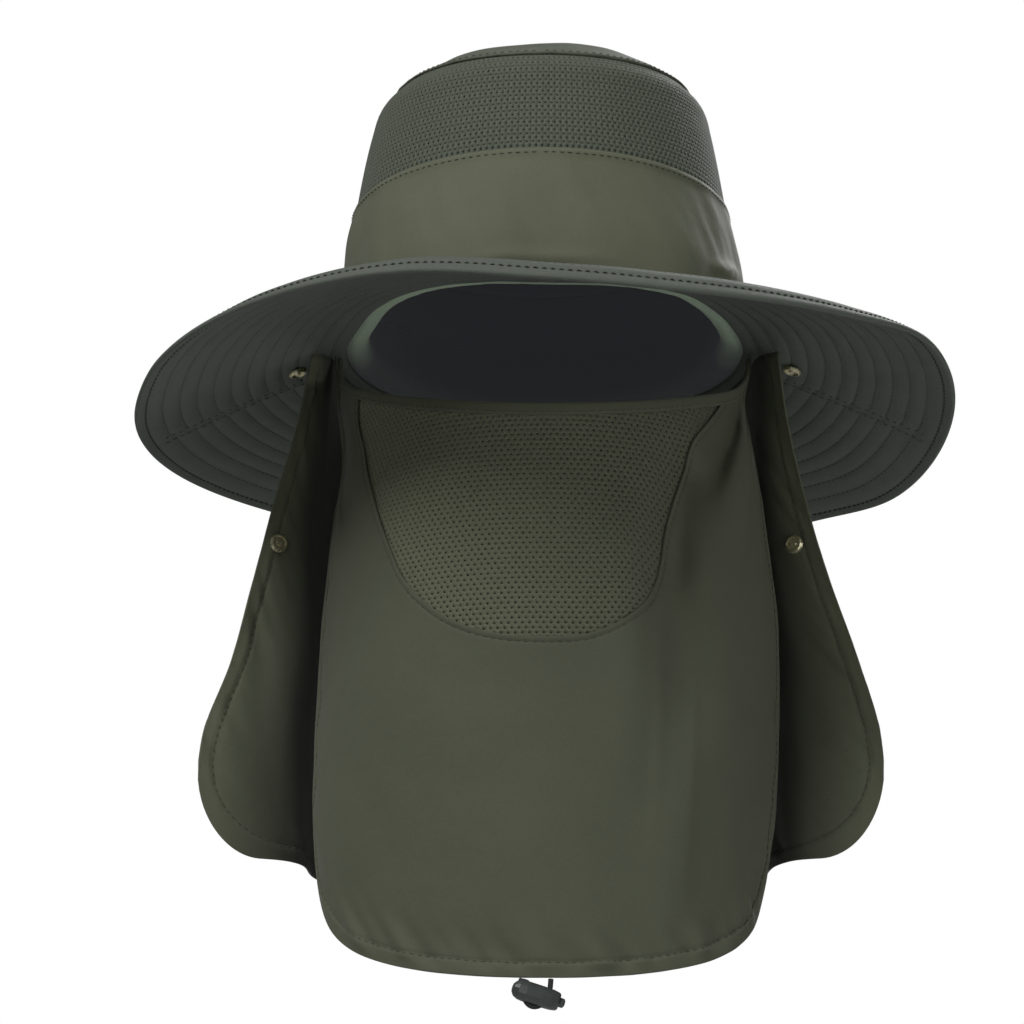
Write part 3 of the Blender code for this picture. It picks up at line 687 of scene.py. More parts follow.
CROWN_FIELDS = "share height width rise"
BAND_ROWS = table(CROWN_FIELDS, (
    (0.00, 0.00, 1.000, 0.0),
    (0.35, 0.35, 1.000, 0.0),
    (0.70, 0.70, 0.974, 0.0),
    (1.00, 1.00, 0.934, 0.0),
))
NET_ROWS = table(CROWN_FIELDS, (
    (0.00, 0.00, 0.934, 0.0),
    (0.35, 0.35, 0.895, 0.4),
    (0.65, 0.65, 0.859, 0.5),
    (0.85, 0.85, 0.826, 0.5),
    (1.00, 1.00, 0.750, 0.5),
))
TIP_ROWS = table(CROWN_FIELDS, (
    (0.00, 0.00, 0.750, 0.5),
    (0.14, 0.38, 0.655, 0.4),
    (0.32, 0.68, 0.560, 0.2),
    (0.60, 0.92, 0.330, 0.1),
    (1.00, 1.00, 0.000, 0.0),
))
MESH_BOTTOM = BAND_HEIGHT + SEAM_GAP
TIP_BOTTOM = MESH_BOTTOM + MESH_HEIGHT + SEAM_GAP
CROWN_TOP = BAND_HEIGHT + MESH_HEIGHT + TIP_HEIGHT


def crown_point(rows, bottom, height, azimuth, share, inset=0.0):
    """A point of the crown's outer face, or a little inside it."""
    level = bottom + height * read_table(rows, "share", "height", share)
    width = read_table(rows, "share", "width", share)
    rise = SIDE_RISE * read_table(rows, "share", "rise", share)
    lean = CROWN_LEAN * math.sin(math.pi * level / CROWN_TOP)
    inset -= seam_bulge(azimuth) * ease(1 - level / BAND_HEIGHT)
    x, y = oval(
        (CROWN_INNER_WIDTH + CROWN_WALL) * width - inset,
        (CROWN_INNER_LENGTH + CROWN_WALL) * width - inset,
        azimuth,
    )
    return Vector((x + lean, y, level + rise * math.sin(math.radians(azimuth)) ** 2))


# %% Crown cloth
CROWN_COLUMNS = 240
CROWN_AROUND = 0.58
BAND_WAVE = 0.0020
BAND_LIP = 0.0005
BAND_FOLD = 0.0019
BAND_LIP_FROM = 0.935
BAND_PINCH = 0.0006
BAND_TUCK = 0.0012
TIP_WAVE = 0.0009
TIP_PUCKER = 0.0004
TIP_EDGE = 0.0004
CROWN_CLOTH_WALL = 0.0012
BAND_ROWS_OF_GRID = 40
TIP_ROWS_OF_GRID = 36


def band_place(u, v):
    """The band, from just under the brim's upper face to its upper edge."""
    point = crown_point(BAND_ROWS, 0.0, BAND_HEIGHT, 360 * u, v)
    point.z -= BAND_TUCK * ease(1 - v / 0.04)
    return point


BAND_FOLDS = table(FOLD_FIELDS, (
    (-0.24, 0.15, 0.26, 0.13, 0.40, 0.050),
    (-0.22, 0.07, 0.24, 0.06, -0.45, 0.035),
    (0.54, 0.22, 0.90, 0.52, 1.0, 0.050),
    (0.58, 0.16, 0.94, 0.42, -0.9, 0.040),
    (-0.98, 0.30, -0.60, 0.36, -0.5, 0.060),
))


def band_detail(u, v):
    """Soft waves and a few folds, a folded upper edge and a pinched seam at the brim."""
    folds = BAND_FOLD * fold_height(BAND_FOLDS, ((360 * u + 180) % 360 - 180) / 90, v)
    wave = rough_round(u, 3.2, 1, v * 1.1)
    small = rough_round(u, 9.0, 2, v * 2.6)
    lip = BAND_LIP * ease((v - BAND_LIP_FROM) / 0.03)
    pinch = BAND_PINCH * ease(1 - v / 0.06)
    return BAND_WAVE * (wave + 0.5 * small) * abs(math.sin(math.pi * v)) ** 0.6 + folds + lip - pinch


def tip_place(u, v):
    """The domed tip, from its folded edge to its pole."""
    return crown_point(TIP_ROWS, TIP_BOTTOM - 0.0004, TIP_HEIGHT, 360 * u, v)


def tip_detail(u, v):
    """The tip's folded edge and the soft puckers that its seam draws into it."""
    wave = rough_round(u, 4.0 * (1 - v), 5)
    pucker = rough_round(u, 11.0, 6) * ease(1 - v / 0.22)
    edge = TIP_EDGE * ease(1 - (v - 0.02) / 0.03)
    return TIP_WAVE * wave * ease(v / 0.2) + TIP_PUCKER * pucker + edge


crown_band = new_piece(
    "band_cloth",
    bent_grid(CROWN_COLUMNS, BAND_ROWS_OF_GRID, (CROWN_AROUND, BAND_HEIGHT), band_place, band_detail),
    [olive_cloth, dark_inside_painted_shade],
)
crown_tip = new_piece(
    "tip_cloth",
    bent_grid(CROWN_COLUMNS // 2, TIP_ROWS_OF_GRID, (CROWN_AROUND * 0.8, 0.075), tip_place, tip_detail),
    [tip_cloth, dark_inside_painted_shade],
)
# The inner faces of band and tip carry the near-black painted shade.
for cloth in (crown_band, crown_tip):
    add_wall(cloth, CROWN_CLOTH_WALL, -1, two_sided=True)

# %% [markdown]
# ## Eyelet mesh
#
# The mesh is a knit with small round holes in staggered rows. It starts as a grid whose
# every second row is pushed half a step aside, and cutting its squares along their shorter
# diagonal gives a lattice of triangles. Bevelling the lattice's corners opens a six-sided
# face at each of them, and taking those faces out leaves the holes.

# %% Net helper
Net = namedtuple("Net", "step row hole")
CROWN_NET = Net(0.0029, 0.0020, 19.0)
MASK_NET = Net(0.0030, 0.0021, 18.0)


def make_net(kind, columns, rows, place, keep=None):
    """A net of staggered holes on place(u, v), where u and v count steps and rows."""
    net = bmesh.new()
    weave = net.loops.layers.uv.new("weave")
    bmesh.ops.create_grid(net, x_segments=columns, y_segments=rows, size=0.5)
    for vert in net.verts:
        row = round((vert.co.y + 0.5) * rows)
        shift = 0.5 if row % 2 else 0.0
        vert.co = Vector(((vert.co.x + 0.5) * columns + shift, row, 0.0))
    bmesh.ops.triangulate(net, faces=net.faces, quad_method="SHORT_EDGE")
    if keep:
        outside = [face for face in net.faces if not keep(*face.calc_center_median().xy)]
        bmesh.ops.delete(net, geom=outside, context="FACES")
    for face in net.faces:
        for loop in face.loops:
            loop[weave].uv = (loop.vert.co.x * kind.step, loop.vert.co.y * kind.row)
    for vert in net.verts:
        vert.co = place(vert.co.x, vert.co.y)
    bmesh.ops.remove_doubles(net, verts=net.verts, dist=WELD)
    inner = [vert for vert in net.verts if not vert.is_boundary]
    opened = bmesh.ops.bevel(
        net, geom=inner, offset=kind.hole, offset_type="PERCENT", affect="VERTICES",
        segments=1, profile=0.5, material=-1, clamp_overlap=False,
    )
    bmesh.ops.delete(net, geom=opened["faces"], context="FACES_ONLY")
    return net


# %% Crown net
CROWN_NET_COLUMNS = 194
CROWN_NET_ROWS = 28
NET_WALL = 0.0005
NET_INSET = 0.0007
NET_TUCK = 0.06


def crown_net_place(column, row):
    """The crown's net, tucked a little behind the edges of the band and of the tip."""
    share = mix(-NET_TUCK, 1 + NET_TUCK * 0.5, row / CROWN_NET_ROWS)
    azimuth = 360 * column / CROWN_NET_COLUMNS
    point = crown_point(NET_ROWS, MESH_BOTTOM, MESH_HEIGHT, azimuth, share, NET_INSET)
    if share < 0:
        point = crown_point(BAND_ROWS, 0.0, BAND_HEIGHT, azimuth, 1 + share * 0.9, NET_INSET * 2)
    if share > 1:
        point.z += MESH_HEIGHT * (share - 1)
        point.xy *= 1 - (share - 1) * 1.1
    return point


crown_net = new_piece(
    "crown_net", make_net(CROWN_NET, CROWN_NET_COLUMNS, CROWN_NET_ROWS, crown_net_place), [net_cloth]
)
add_wall(crown_net, NET_WALL, -1)

# %% Seam tape
TAPE_BELOW = 0.004
TAPE_ABOVE = 0.010
TAPE_INSET = 0.0022
TAPE_FOOT_INSET = 0.0010
TAPE_WALL = 0.0005


def tape_place(u, v):
    """The binding that covers the seam between band and net on the inside."""
    rise = mix(-TAPE_BELOW, TAPE_ABOVE, v)
    inset = TAPE_INSET if v else TAPE_FOOT_INSET
    point = crown_point(NET_ROWS, MESH_BOTTOM, MESH_HEIGHT, 360 * u, max(rise, 0.0) / MESH_HEIGHT, inset)
    point.z += min(rise, 0.0)
    return point


# The seam tape is painted near-black, as shade inside the crown.
seam_tape = new_piece("seam_tape", bent_grid(120, 6, (0.55, 0.014), tape_place), [dark_inside_painted_shade])
add_wall(seam_tape, TAPE_WALL, -1)

# %% [markdown]
# ## The sweatband
#
# A soft tape runs round the head opening. It is folded inward at its lower edge, and from
# below the fold shows as a pale crescent at the front. The tape is pale, and its colour is
# raised further as painted light on the fold; it darkens as painted shade up inside the crown
# and towards the back, and glows faintly as painted light. It is one strip that starts at the
# seam, runs round the fold and goes up inside the crown, and Solidify gives it its wall.

# %% Sweatband
SWEAT_WALL = 0.0010
SWEAT_RIPPLE = 0.0003

SWEAT_ROWS = table("share offset height", (
    (0.00, 0.0062, 0.0004),
    (0.12, 0.0032, -0.0014),
    (0.30, -0.0014, 0.0002),
    (0.45, -0.0034, 0.0050),
    (0.65, -0.0014, 0.0140),
    (1.00, 0.0030, 0.0300),
))


def sweatband_place(u, v):
    """The tape's inner face, from the seam over the fold and up."""
    offset = read_table(SWEAT_ROWS, "share", "offset", v)
    height = read_table(SWEAT_ROWS, "share", "height", v)
    azimuth = 360 * u
    offset += seam_bulge(azimuth) * ease(1 - height / BAND_HEIGHT)
    ripple = SWEAT_RIPPLE * rough_round(u, 14.0, 9)
    x, y = oval(HEAD_HALF_WIDTH + offset, HEAD_HALF_LENGTH + offset, azimuth)
    return Vector((x, y, height + ripple))


sweatband_shape = bent_grid(CROWN_COLUMNS, 36, (0.56, 0.038), sweatband_place)
# The tape's finish carries painted light on the fold, painted shade inside and at the back, and a faint
# painted glow.
sweatband = new_piece("sweat_tape", sweatband_shape, [pale_tape_with_painted_light_and_shade])
add_wall(sweatband, SWEAT_WALL, 0)

# %% [markdown]
# ## The brim
#
# The brim is two layers of cloth over a thin stiffener, stitched together in a dozen rings.
# Between two rings the layers puff up a little, and each ring pinches them. The section is
# a closed loop: over the upper face, round the edge and back along the lower face.

# %% Brim shape
BRIM_WIDTH = 0.0930
BRIM_DROP = 0.0280
BRIM_WALL = 0.0024
EDGE_STITCH = 0.0046
RING_STEP = 0.0074
RING_COUNT = 12
RING_SHIFT = 0.0024
SIDE_SEAM = 98.0
EDGE_CURL = 0.0062
EDGE_CURL_RUN = 0.0125
EDGE_CURL_POWER = 1.5
EDGE_HALF_WALL = 0.0014
STITCH_PINCH = 0.0004
RING_HALF_WALL = 0.0007
RING_PUFF = 0.00075
RING_ROUNDNESS = 0.55
SEAM_WIDTH = 0.55
SLOPE_STEP = 0.0005

BRIM_EDGE = table("azimuth drop curl", (
    (-180, 1.25, 0.0),
    (-134, 1.19, 0.0),
    (-101, 1.24, 0.0),
    (-80, 1.18, 0.1),
    (-67, 0.96, 0.3),
    (-42, 0.70, 0.8),
    (-20, 0.65, 1.0),
    (0, 0.88, 1.0),
    (20, 0.96, 1.0),
    (44, 0.85, 0.8),
    (63, 0.67, 0.5),
    (78, 0.82, 0.3),
    (90, 1.02, 0.2),
    (115, 1.47, 0.0),
    (134, 1.36, 0.0),
    (180, 1.25, 0.0),
))
BRIM_ROWS = table("share drop", (
    (0.00, 0.00),
    (0.20, 0.15),
    (0.45, 0.39),
    (0.70, 0.66),
    (0.90, 0.89),
    (1.00, 1.00),
))


def brim_height(azimuth, offset):
    """The height of the brim's upper face at an offset from the seam."""
    edge = BRIM_DROP * read_table(BRIM_EDGE, "azimuth", "drop", azimuth)
    curl = EDGE_CURL * read_table(BRIM_EDGE, "azimuth", "curl", azimuth)
    turned = max(offset - BRIM_WIDTH + EDGE_CURL_RUN, 0.0) / EDGE_CURL_RUN
    drop = edge * read_table(BRIM_ROWS, "share", "drop", offset / BRIM_WIDTH)
    return -GAP - drop - curl * turned ** EDGE_CURL_POWER


def brim_point(azimuth, offset, side):
    """A point of the brim: side 1 is its upper face, -1 its lower one and 0 its middle."""
    azimuth = (azimuth + 180) % 360 - 180
    height = brim_height(azimuth, offset)
    slope = (height - brim_height(azimuth, offset - SLOPE_STEP)) / SLOPE_STEP
    angle = math.radians(azimuth)
    outward = Vector((math.sin(angle), -math.cos(angle), 0.0))
    normal = (UP - outward * slope).normalized()
    reach = offset + seam_bulge(azimuth) * ease(1 - offset / BRIM_WIDTH)
    x, y = oval(CROWN_INNER_WIDTH + reach, CROWN_INNER_LENGTH + reach, azimuth)
    middle = Vector((x, y, height)) - normal * BRIM_WALL / 2
    return middle + normal * side * brim_half_wall(azimuth, offset)


def ring_phase(azimuth, offset):
    """How many rings lie between a place and the edge; the back half is a little out of step."""
    shift = RING_SHIFT if abs(azimuth) > SIDE_SEAM else 0.0
    return (BRIM_WIDTH - EDGE_STITCH - offset - shift * ease((BRIM_WIDTH - offset) / 0.02)) / RING_STEP


def brim_half_wall(azimuth, offset):
    """Half of the brim's thickness: pinched at the rings and at the side seams, round at the edge."""
    from_edge = BRIM_WIDTH - offset
    if from_edge < EDGE_STITCH:
        share = from_edge / EDGE_STITCH
        puff = math.sqrt(max(1 - (1 - min(share * 3.2, 1.0)) ** 2, 0.0)) * (1 - 0.25 * share)
        return EDGE_HALF_WALL * puff - STITCH_PINCH * ease((share - 0.7) / 0.3)
    phase = ring_phase(azimuth, offset)
    puff = abs(math.sin(math.pi * phase)) ** RING_ROUNDNESS
    uneven = 1 + 0.30 * rough(azimuth * 0.16, phase * 0.9, 11)
    seam = math.exp(-((abs(azimuth) - SIDE_SEAM) / SEAM_WIDTH) ** 2)
    return RING_HALF_WALL + RING_PUFF * puff * uneven - STITCH_PINCH * seam


# %% Brim cloth
BRIM_COLUMNS = 360
RING_FACES = 6
EDGE_FACES = 9
SEAM_FACES = 4


def brim_offsets():
    """The offsets of the brim's section, from the seam to the edge, fine enough for its rings."""
    inner = BRIM_WIDTH - EDGE_STITCH - RING_STEP * (RING_COUNT - 1)
    offsets = [inner * step / SEAM_FACES for step in range(SEAM_FACES)]
    quilted = BRIM_WIDTH - EDGE_STITCH - inner
    steps = RING_FACES * (RING_COUNT - 1)
    offsets += [inner + quilted * step / steps for step in range(steps)]
    edge = [1 - (1 - step / EDGE_FACES) ** 1.8 for step in range(EDGE_FACES + 1)]
    return offsets + [BRIM_WIDTH - EDGE_STITCH * (1 - share) for share in edge]


brim_section = [(offset, 1) for offset in brim_offsets()]
brim_section += [(offset, -1) for offset in reversed(brim_offsets()[:-1])]
brim_section.append(brim_section[0])


def brim_place(u, v):
    """The brim's section, all the way round."""
    offset, side = brim_section[round(v * (len(brim_section) - 1))]
    return brim_point(360 * u, offset, side)


brim_shape = bent_grid(BRIM_COLUMNS, len(brim_section) - 1, (0.92, 0.19), brim_place)
bmesh.ops.recalc_face_normals(brim_shape, faces=brim_shape.faces)
brim = new_piece("brim_cloth", brim_shape, [brim_cloth])

# %% [markdown]
# ## The neck flap
#
# The flap is sewn into the brim's seam. It runs round the back of the head and turns outward
# at both front edges, where the camera sees its inner face. Its free edges have a folded and
# stitched hem, which pulls the cloth into small puckers.

# %% Flap shape
FLAP_FRONT_AZIMUTH = 84.0
FLAP_HEM_AZIMUTH = 80.0
FLAP_CLEARANCE = 0.0040
FLAP_TOP_FLARE = 0.0120
FLAP_HEM_FLARE = 0.0520
FLAP_SHIFT = -0.0025
FLAP_HEM_HALF_WIDTH = 0.0970
FLAP_HEM_HALF_DEPTH = 0.1150
FLAP_BACK_LENGTH = 0.2420
FLAP_FRONT_LENGTH = 0.2335
FLAP_CORNER_RADIUS = 0.0415
FLAP_RIPPLE = 0.0050
FLAP_RIPPLES = 2.4
FLAP_CALM_FROM = 0.55
FLAP_CALM_RUN = 0.30
FLAP_SHORTER_FROM = 0.40
FLAP_SHORTER_RUN = 0.45
FLAP_TURN_FROM = 0.87
FLAP_HEM = 0.0062

FLAP_STATIONS = table("station round flare", (
    (0.00, 0.00, 0.00),
    (0.40, 0.48, 0.00),
    (0.70, 0.84, 0.01),
    (0.80, 0.94, 0.10),
    (0.87, 0.99, 0.32),
    (1.00, 1.04, 1.00),
))
FLAP_SPREAD = table("level spread aside", (
    (0.00, 0.00, 0.00),
    (0.15, 0.13, 0.50),
    (0.30, 0.31, 1.00),
    (0.45, 0.51, 0.70),
    (0.60, 0.74, 0.20),
    (0.75, 0.98, 0.80),
    (1.00, 1.03, 1.00),
))


def flap_length(station):
    """How far the flap hangs down at a station, without its round corners."""
    share = ease((abs(station) - FLAP_SHORTER_FROM) / FLAP_SHORTER_RUN)
    return mix(FLAP_BACK_LENGTH, FLAP_FRONT_LENGTH, share)


def flap_drop(station):
    """The height of the flap's hem at a station, from -1 at one front edge to 1 at the other."""
    corner = (1 - FLAP_TURN_FROM) * FLAP_CORNER_RADIUS / FLAP_HEM_FLARE
    inside = min(max((abs(station) - 1 + corner) / corner, 0.0), 1.0)
    return -flap_length(station) + FLAP_CORNER_RADIUS * (1 - math.sqrt(1 - inside ** 2))


def flap_azimuth(station, front):
    """The azimuth of a station, where the flap's front edges lie at the azimuth front."""
    share = read_table(FLAP_STATIONS, "station", "round", abs(station))
    return 180 - (180 - front) * math.copysign(share, station)


def flap_flare(station):
    """How much of the outward turn of its front edge the flap has at a station."""
    return max(read_table(FLAP_STATIONS, "station", "flare", abs(station)), 0.0)


def flap_top(station):
    """A point of the flap's upper edge, just under the brim."""
    offset = FLAP_CLEARANCE + FLAP_TOP_FLARE * flap_flare(station)
    azimuth = flap_azimuth(station, FLAP_FRONT_AZIMUTH)
    x, y = oval(CROWN_INNER_WIDTH + offset, CROWN_INNER_LENGTH + offset, azimuth)
    around = (azimuth + 180) % 360 - 180
    return Vector((x, y, brim_height(around, offset) - BRIM_WALL * 1.05 - GAP * 2))


def flap_point(station, height):
    """A point in the middle of the flap's cloth, at a station and a height."""
    top = flap_top(station)
    azimuth = flap_azimuth(station, FLAP_HEM_AZIMUTH)
    hem_x, hem_y = oval(FLAP_HEM_HALF_WIDTH, FLAP_HEM_HALF_DEPTH, azimuth)
    level = (top.z - height) / (FLAP_BACK_LENGTH + top.z)
    calm = 1 - ease((abs(station) - FLAP_CALM_FROM) / FLAP_CALM_RUN)
    ripple = FLAP_RIPPLE * calm * math.cos(math.tau * FLAP_RIPPLES * station)
    outward = Vector((hem_x, hem_y)).normalized() * ripple
    hem_x += outward.x + math.copysign(FLAP_HEM_FLARE * flap_flare(station), hem_x)
    hem_y += outward.y
    spread = read_table(FLAP_SPREAD, "level", "spread", level)
    aside = FLAP_SHIFT * read_table(FLAP_SPREAD, "level", "aside", level)
    return Vector((mix(top.x, hem_x, spread) + aside, mix(top.y, hem_y, spread), height))


# %% Flap cloth
FLAP_COLUMNS = 250
FLAP_ROWS = 112
FLAP_CROWDING = 1.25
HEM_CROWDING = 1.5
FLAP_WALL = 0.0009
FLAP_PUCKER = 0.0013
FLAP_CREASE = 0.0016
FLAP_UNEVEN = 0.0022
FLAP_FLAT_WIDTH = 0.520
FLAP_FLAT_LENGTH = 0.240


def flap_place_of(u, v):
    """The station and the height of a place on the flap's grid: v is 0 at the hem."""
    reach = abs(2 * u - 1)
    station = math.copysign(1 - (1 - reach) ** FLAP_CROWDING, u - 0.5)
    return station, mix(flap_drop(station), flap_top(station).z, v)


@lru_cache(maxsize=None)
def flap_edge_speed(height):
    """Metres of cloth for each whole station near the flap's front edges, at a height."""
    height = min(height, flap_top(1.0).z)
    return (flap_point(1.0, height) - flap_point(FLAP_TURN_FROM, height)).length / (1 - FLAP_TURN_FROM)


def flap_edge_distance(station, height):
    """How far a place lies from the flap's free edges."""
    from_side = (1 - abs(station)) * flap_edge_speed(round(height, 3))
    from_hem = height + flap_length(station)
    if from_side < FLAP_CORNER_RADIUS and from_hem < FLAP_CORNER_RADIUS:
        side = FLAP_CORNER_RADIUS - from_side
        down = FLAP_CORNER_RADIUS - from_hem
        return FLAP_CORNER_RADIUS - math.hypot(side, down)
    return min(from_side, from_hem)


HEM_RELIEF = 0.0005
HEM_EDGE_WIDTH = 0.0012
HEM_GROOVE_WIDTH = 0.0009
PUCKER_STEP = 0.0085
PUCKER_LENGTH = 0.025
PUCKER_REACH = 0.011
PUCKER_HEM_REACH = 0.0035


def hem_lift(distance, hem, along, pull):
    """The relief of a stitched hem: a raised edge, a groove at its stitches and puckers beside it."""
    inside = distance - hem
    edge = HEM_RELIEF * ease(0.5 - inside / HEM_EDGE_WIDTH)
    groove = -HEM_RELIEF * math.exp(-(inside / HEM_GROOVE_WIDTH) ** 2)
    reach = PUCKER_REACH if inside > 0 else PUCKER_HEM_REACH
    pucker = rough(along / PUCKER_STEP, distance / PUCKER_LENGTH, 21)
    return edge + groove + pull * pucker * math.exp(-(inside / reach) ** 2)


def flap_detail(u, v):
    """Hem, slanting creases and soft unevenness of the flap."""
    station, height = flap_place_of(u, v)
    distance = flap_edge_distance(station, height)
    along = station * 0.3 + height
    slant = rough(station * 13 + height * 22, height * 9 - station * 6, 23)
    soft = rough(station * 6, height * 14, 24)
    hang = ease(-height / 0.06)
    hem = hem_lift(distance, FLAP_HEM, along, FLAP_PUCKER)
    return hem + hang * (FLAP_CREASE * slant + FLAP_UNEVEN * soft)


def flap_place(u, v):
    """A point of the flap's grid."""
    return flap_point(*flap_place_of(u, v))


# One face of the flap carries painted shade away from its front edges.
flap = new_piece(
    "flap_cloth",
    bent_grid(FLAP_COLUMNS, FLAP_ROWS, (FLAP_FLAT_WIDTH, FLAP_FLAT_LENGTH), flap_place, flap_detail,
              lambda v: v ** HEM_CROWDING),
    [flap_inside_with_painted_shade, olive_cloth],
)
add_wall(flap, FLAP_WALL, 0, two_sided=True)

# %% [markdown]
# ## The mask's cloth and its window
#
# The window is shaped like a U and ends at the mask's upper edge. The cloth round it is laid
# out between two lines, the window's edge and the mask's own edge. Distances to both lines
# are looked up in a search tree, so hem and window seam get their relief along every curve.

# %% Mask outline
WINDOW_HALF_WIDTH = 0.0890
WINDOW_HEIGHT = 0.0985
MASK_HEM = 0.0062
WINDOW_STITCH = 0.0022
MASK_ARC = 0.1445

WINDOW_ROWS = table("share left right drop", (
    (0.00, 0.98, 0.95, 0.00),
    (0.16, 1.00, 0.66, 0.17),
    (0.30, 0.92, 0.58, 0.30),
    (0.42, 0.83, 0.52, 0.42),
    (0.54, 0.75, 0.47, 0.55),
    (0.66, 0.66, 0.44, 0.69),
    (0.75, 0.59, 0.41, 0.79),
    (0.83, 0.48, 0.36, 0.88),
    (0.90, 0.35, 0.27, 0.95),
    (0.95, 0.19, 0.15, 0.99),
    (1.00, 0.00, 0.00, 1.00),
))


def window_curve(share):
    """The side and drop of a point of the window's edge, from its left top end to its right one."""
    half = 1 - abs(2 * share - 1)
    end = math.radians(MASK_SIDE_ANGLE)
    wide = math.asin(WINDOW_HALF_WIDTH / MASK_HALF_WIDTH * math.sin(end)) / end
    across = wide * read_table(WINDOW_ROWS, "share", "left" if share < 0.5 else "right", half)
    drop = read_table(WINDOW_ROWS, "share", "drop", half) * WINDOW_HEIGHT / (MASK_LENGTH - MASK_SAG)
    return Vector((math.copysign(across, share - 0.5), drop))


def mask_outline(share):
    """The side and drop of a point of the mask's edge: down the left, along the hem, up the right."""
    if share < MASK_SIDE_RUN:
        return Vector((-1.0, share / MASK_SIDE_RUN))
    if share > 1 - MASK_SIDE_RUN:
        return Vector((1.0, (1 - share) / MASK_SIDE_RUN))
    along = (share - MASK_SIDE_RUN) / (1 - 2 * MASK_SIDE_RUN)
    return Vector((-math.cos(math.pi * along), 1.0))


def unrolled(side, drop):
    """A place of the mask laid flat: metres across and height."""
    return Vector((side * MASK_ARC, mix(mask_top(side), mask_hem(side), drop), 0.0))


def search_tree(points):
    """A search tree of points, to look up the nearest one."""
    tree = KDTree(len(points))
    for index, point in enumerate(points):
        tree.insert(point, index)
    tree.balance()
    return tree


LINE_SAMPLES = 900
outline_line = [unrolled(*mask_outline(step / LINE_SAMPLES)) for step in range(LINE_SAMPLES + 1)]
window_line = [unrolled(*window_curve(step / LINE_SAMPLES)) for step in range(LINE_SAMPLES + 1)]
outline_tree = search_tree(outline_line)
window_tree = search_tree(window_line)
print("mask edge", round(sum((b - a).length for a, b in zip(outline_line, outline_line[1:])), 3), "m")

# %% Mask cloth
MASK_COLUMNS = 420
MASK_RINGS = 96
RING_CROWDING = 0.70
MASK_WAVE = 0.0020
MASK_TURN = 1.35
MASK_WALL = 0.0010
WINDOW_GROOVE = 0.0004
WINDOW_LIP = 0.0002
MASK_CREASE = 0.0003
MASK_PUCKER = 0.0008
MASK_GATHER = 0.0040


def mask_wave(x, z):
    """The soft unevenness that the mask's cloth, net and upper band share."""
    return MASK_WAVE * rough(x * 16, z * 11, 31)


def mask_outward(side):
    """The direction that the mask's cloth faces at a side."""
    return Vector((math.sin(side * MASK_TURN), -math.cos(side * MASK_TURN), 0.0))


def mask_detail(side, drop):
    """Hem, window seam, gathers and soft unevenness of the mask's cloth."""
    place = unrolled(side, drop)
    from_edge = outline_tree.find(place)[2]
    from_window = window_tree.find(place)[2]
    along = place.x + place.y * 0.7
    groove = WINDOW_GROOVE * math.exp(-((from_window - WINDOW_STITCH) / 0.0007) ** 2)
    lip = WINDOW_LIP * ease((0.0030 - from_window) / 0.0010)
    soft = mask_wave(place.x, place.y) * ease(from_edge / 0.02)
    crease = rough(place.x * 60 + place.y * 25, place.y * 40, 32)
    pull = MASK_PUCKER + MASK_GATHER * ease(drop / 0.9 - 0.5) * (1 - side ** 2)
    return hem_lift(from_edge, MASK_HEM, along, pull) - groove + lip + soft + MASK_CREASE * crease


def mask_grid_place(u, v):
    """The side and drop of a place between the window's edge (v 0) and the mask's edge (v 1)."""
    place = window_curve(u).lerp(mask_outline(u), v)
    return place.x, max(place.y, 0.0)


mask_shape = bent_grid(
    MASK_COLUMNS, MASK_RINGS, (0.75, 0.12),
    lambda u, v: mask_point(*mask_grid_place(u, v)),
    lambda u, v: -mask_detail(*mask_grid_place(u, v)),
    lambda v: v - RING_CROWDING * math.sin(math.tau * v) / math.tau,
)
mask = new_piece("mask_cloth", mask_shape, [mask_cloth])
add_wall(mask, MASK_WALL, 0)

# %% Mask net
NET_SPAN = 0.225
NET_DROP = 0.150
NET_UNDERLAP = 0.0024
NET_BEHIND = 0.0009
net_columns = round(NET_SPAN / MASK_NET.step)
net_rows = round(NET_DROP / MASK_NET.row)


def mask_net_flat(column, row):
    """A place of the mask's net laid flat."""
    return Vector(((column - net_columns / 2) * MASK_NET.step, -MASK_TOP_DROP - row * MASK_NET.row, 0.0))


def mask_net_side_drop(column, row):
    """The side and drop of a place of the mask's net."""
    place = mask_net_flat(column, row)
    side = place.x / MASK_ARC
    return side, (mask_top(side) - place.y) / (mask_top(side) - mask_hem(side))


def in_window(column, row):
    """Whether a place of the net lies in the window or just under the cloth round it."""
    side, drop = mask_net_side_drop(column, row)
    if drop < 0:
        return False
    place = mask_net_flat(column, row)
    nearest, index, distance = window_tree.find(place)
    run = window_line[min(index + 1, LINE_SAMPLES)] - window_line[max(index - 1, 0)]
    return run.cross(place - nearest).z > 0 or distance < NET_UNDERLAP


def mask_net_place(column, row):
    """A point of the mask's net, just behind the cloth round it."""
    side, drop = mask_net_side_drop(column, row)
    point = mask_point(side, max(drop, 0.0))
    soft = mask_wave(side * MASK_ARC, mask_net_flat(column, row).y)
    return point + mask_outward(side) * (soft - NET_BEHIND)


# The net's finish is painted lighter on the left and darker on the right.
mask_net = new_piece(
    "mask_net", make_net(MASK_NET, net_columns, net_rows, mask_net_place, in_window), [mask_net_with_painted_shade]
)
add_wall(mask_net, NET_WALL, 0)

# %% Mask top band
TOP_BAND_HEIGHT = 0.0046
TOP_BAND_STITCH = 0.0009
TOP_BAND_ROWS = table("share down out", (
    (0.00, 1.0, 0.0004),
    (0.10, 1.0, 0.0010),
    (0.42, 0.1, 0.0010),
    (0.50, 0.0, 0.0000),
    (0.58, 0.1, -0.0010),
    (0.90, 1.0, -0.0010),
    (1.00, 1.0, 0.0004),
))


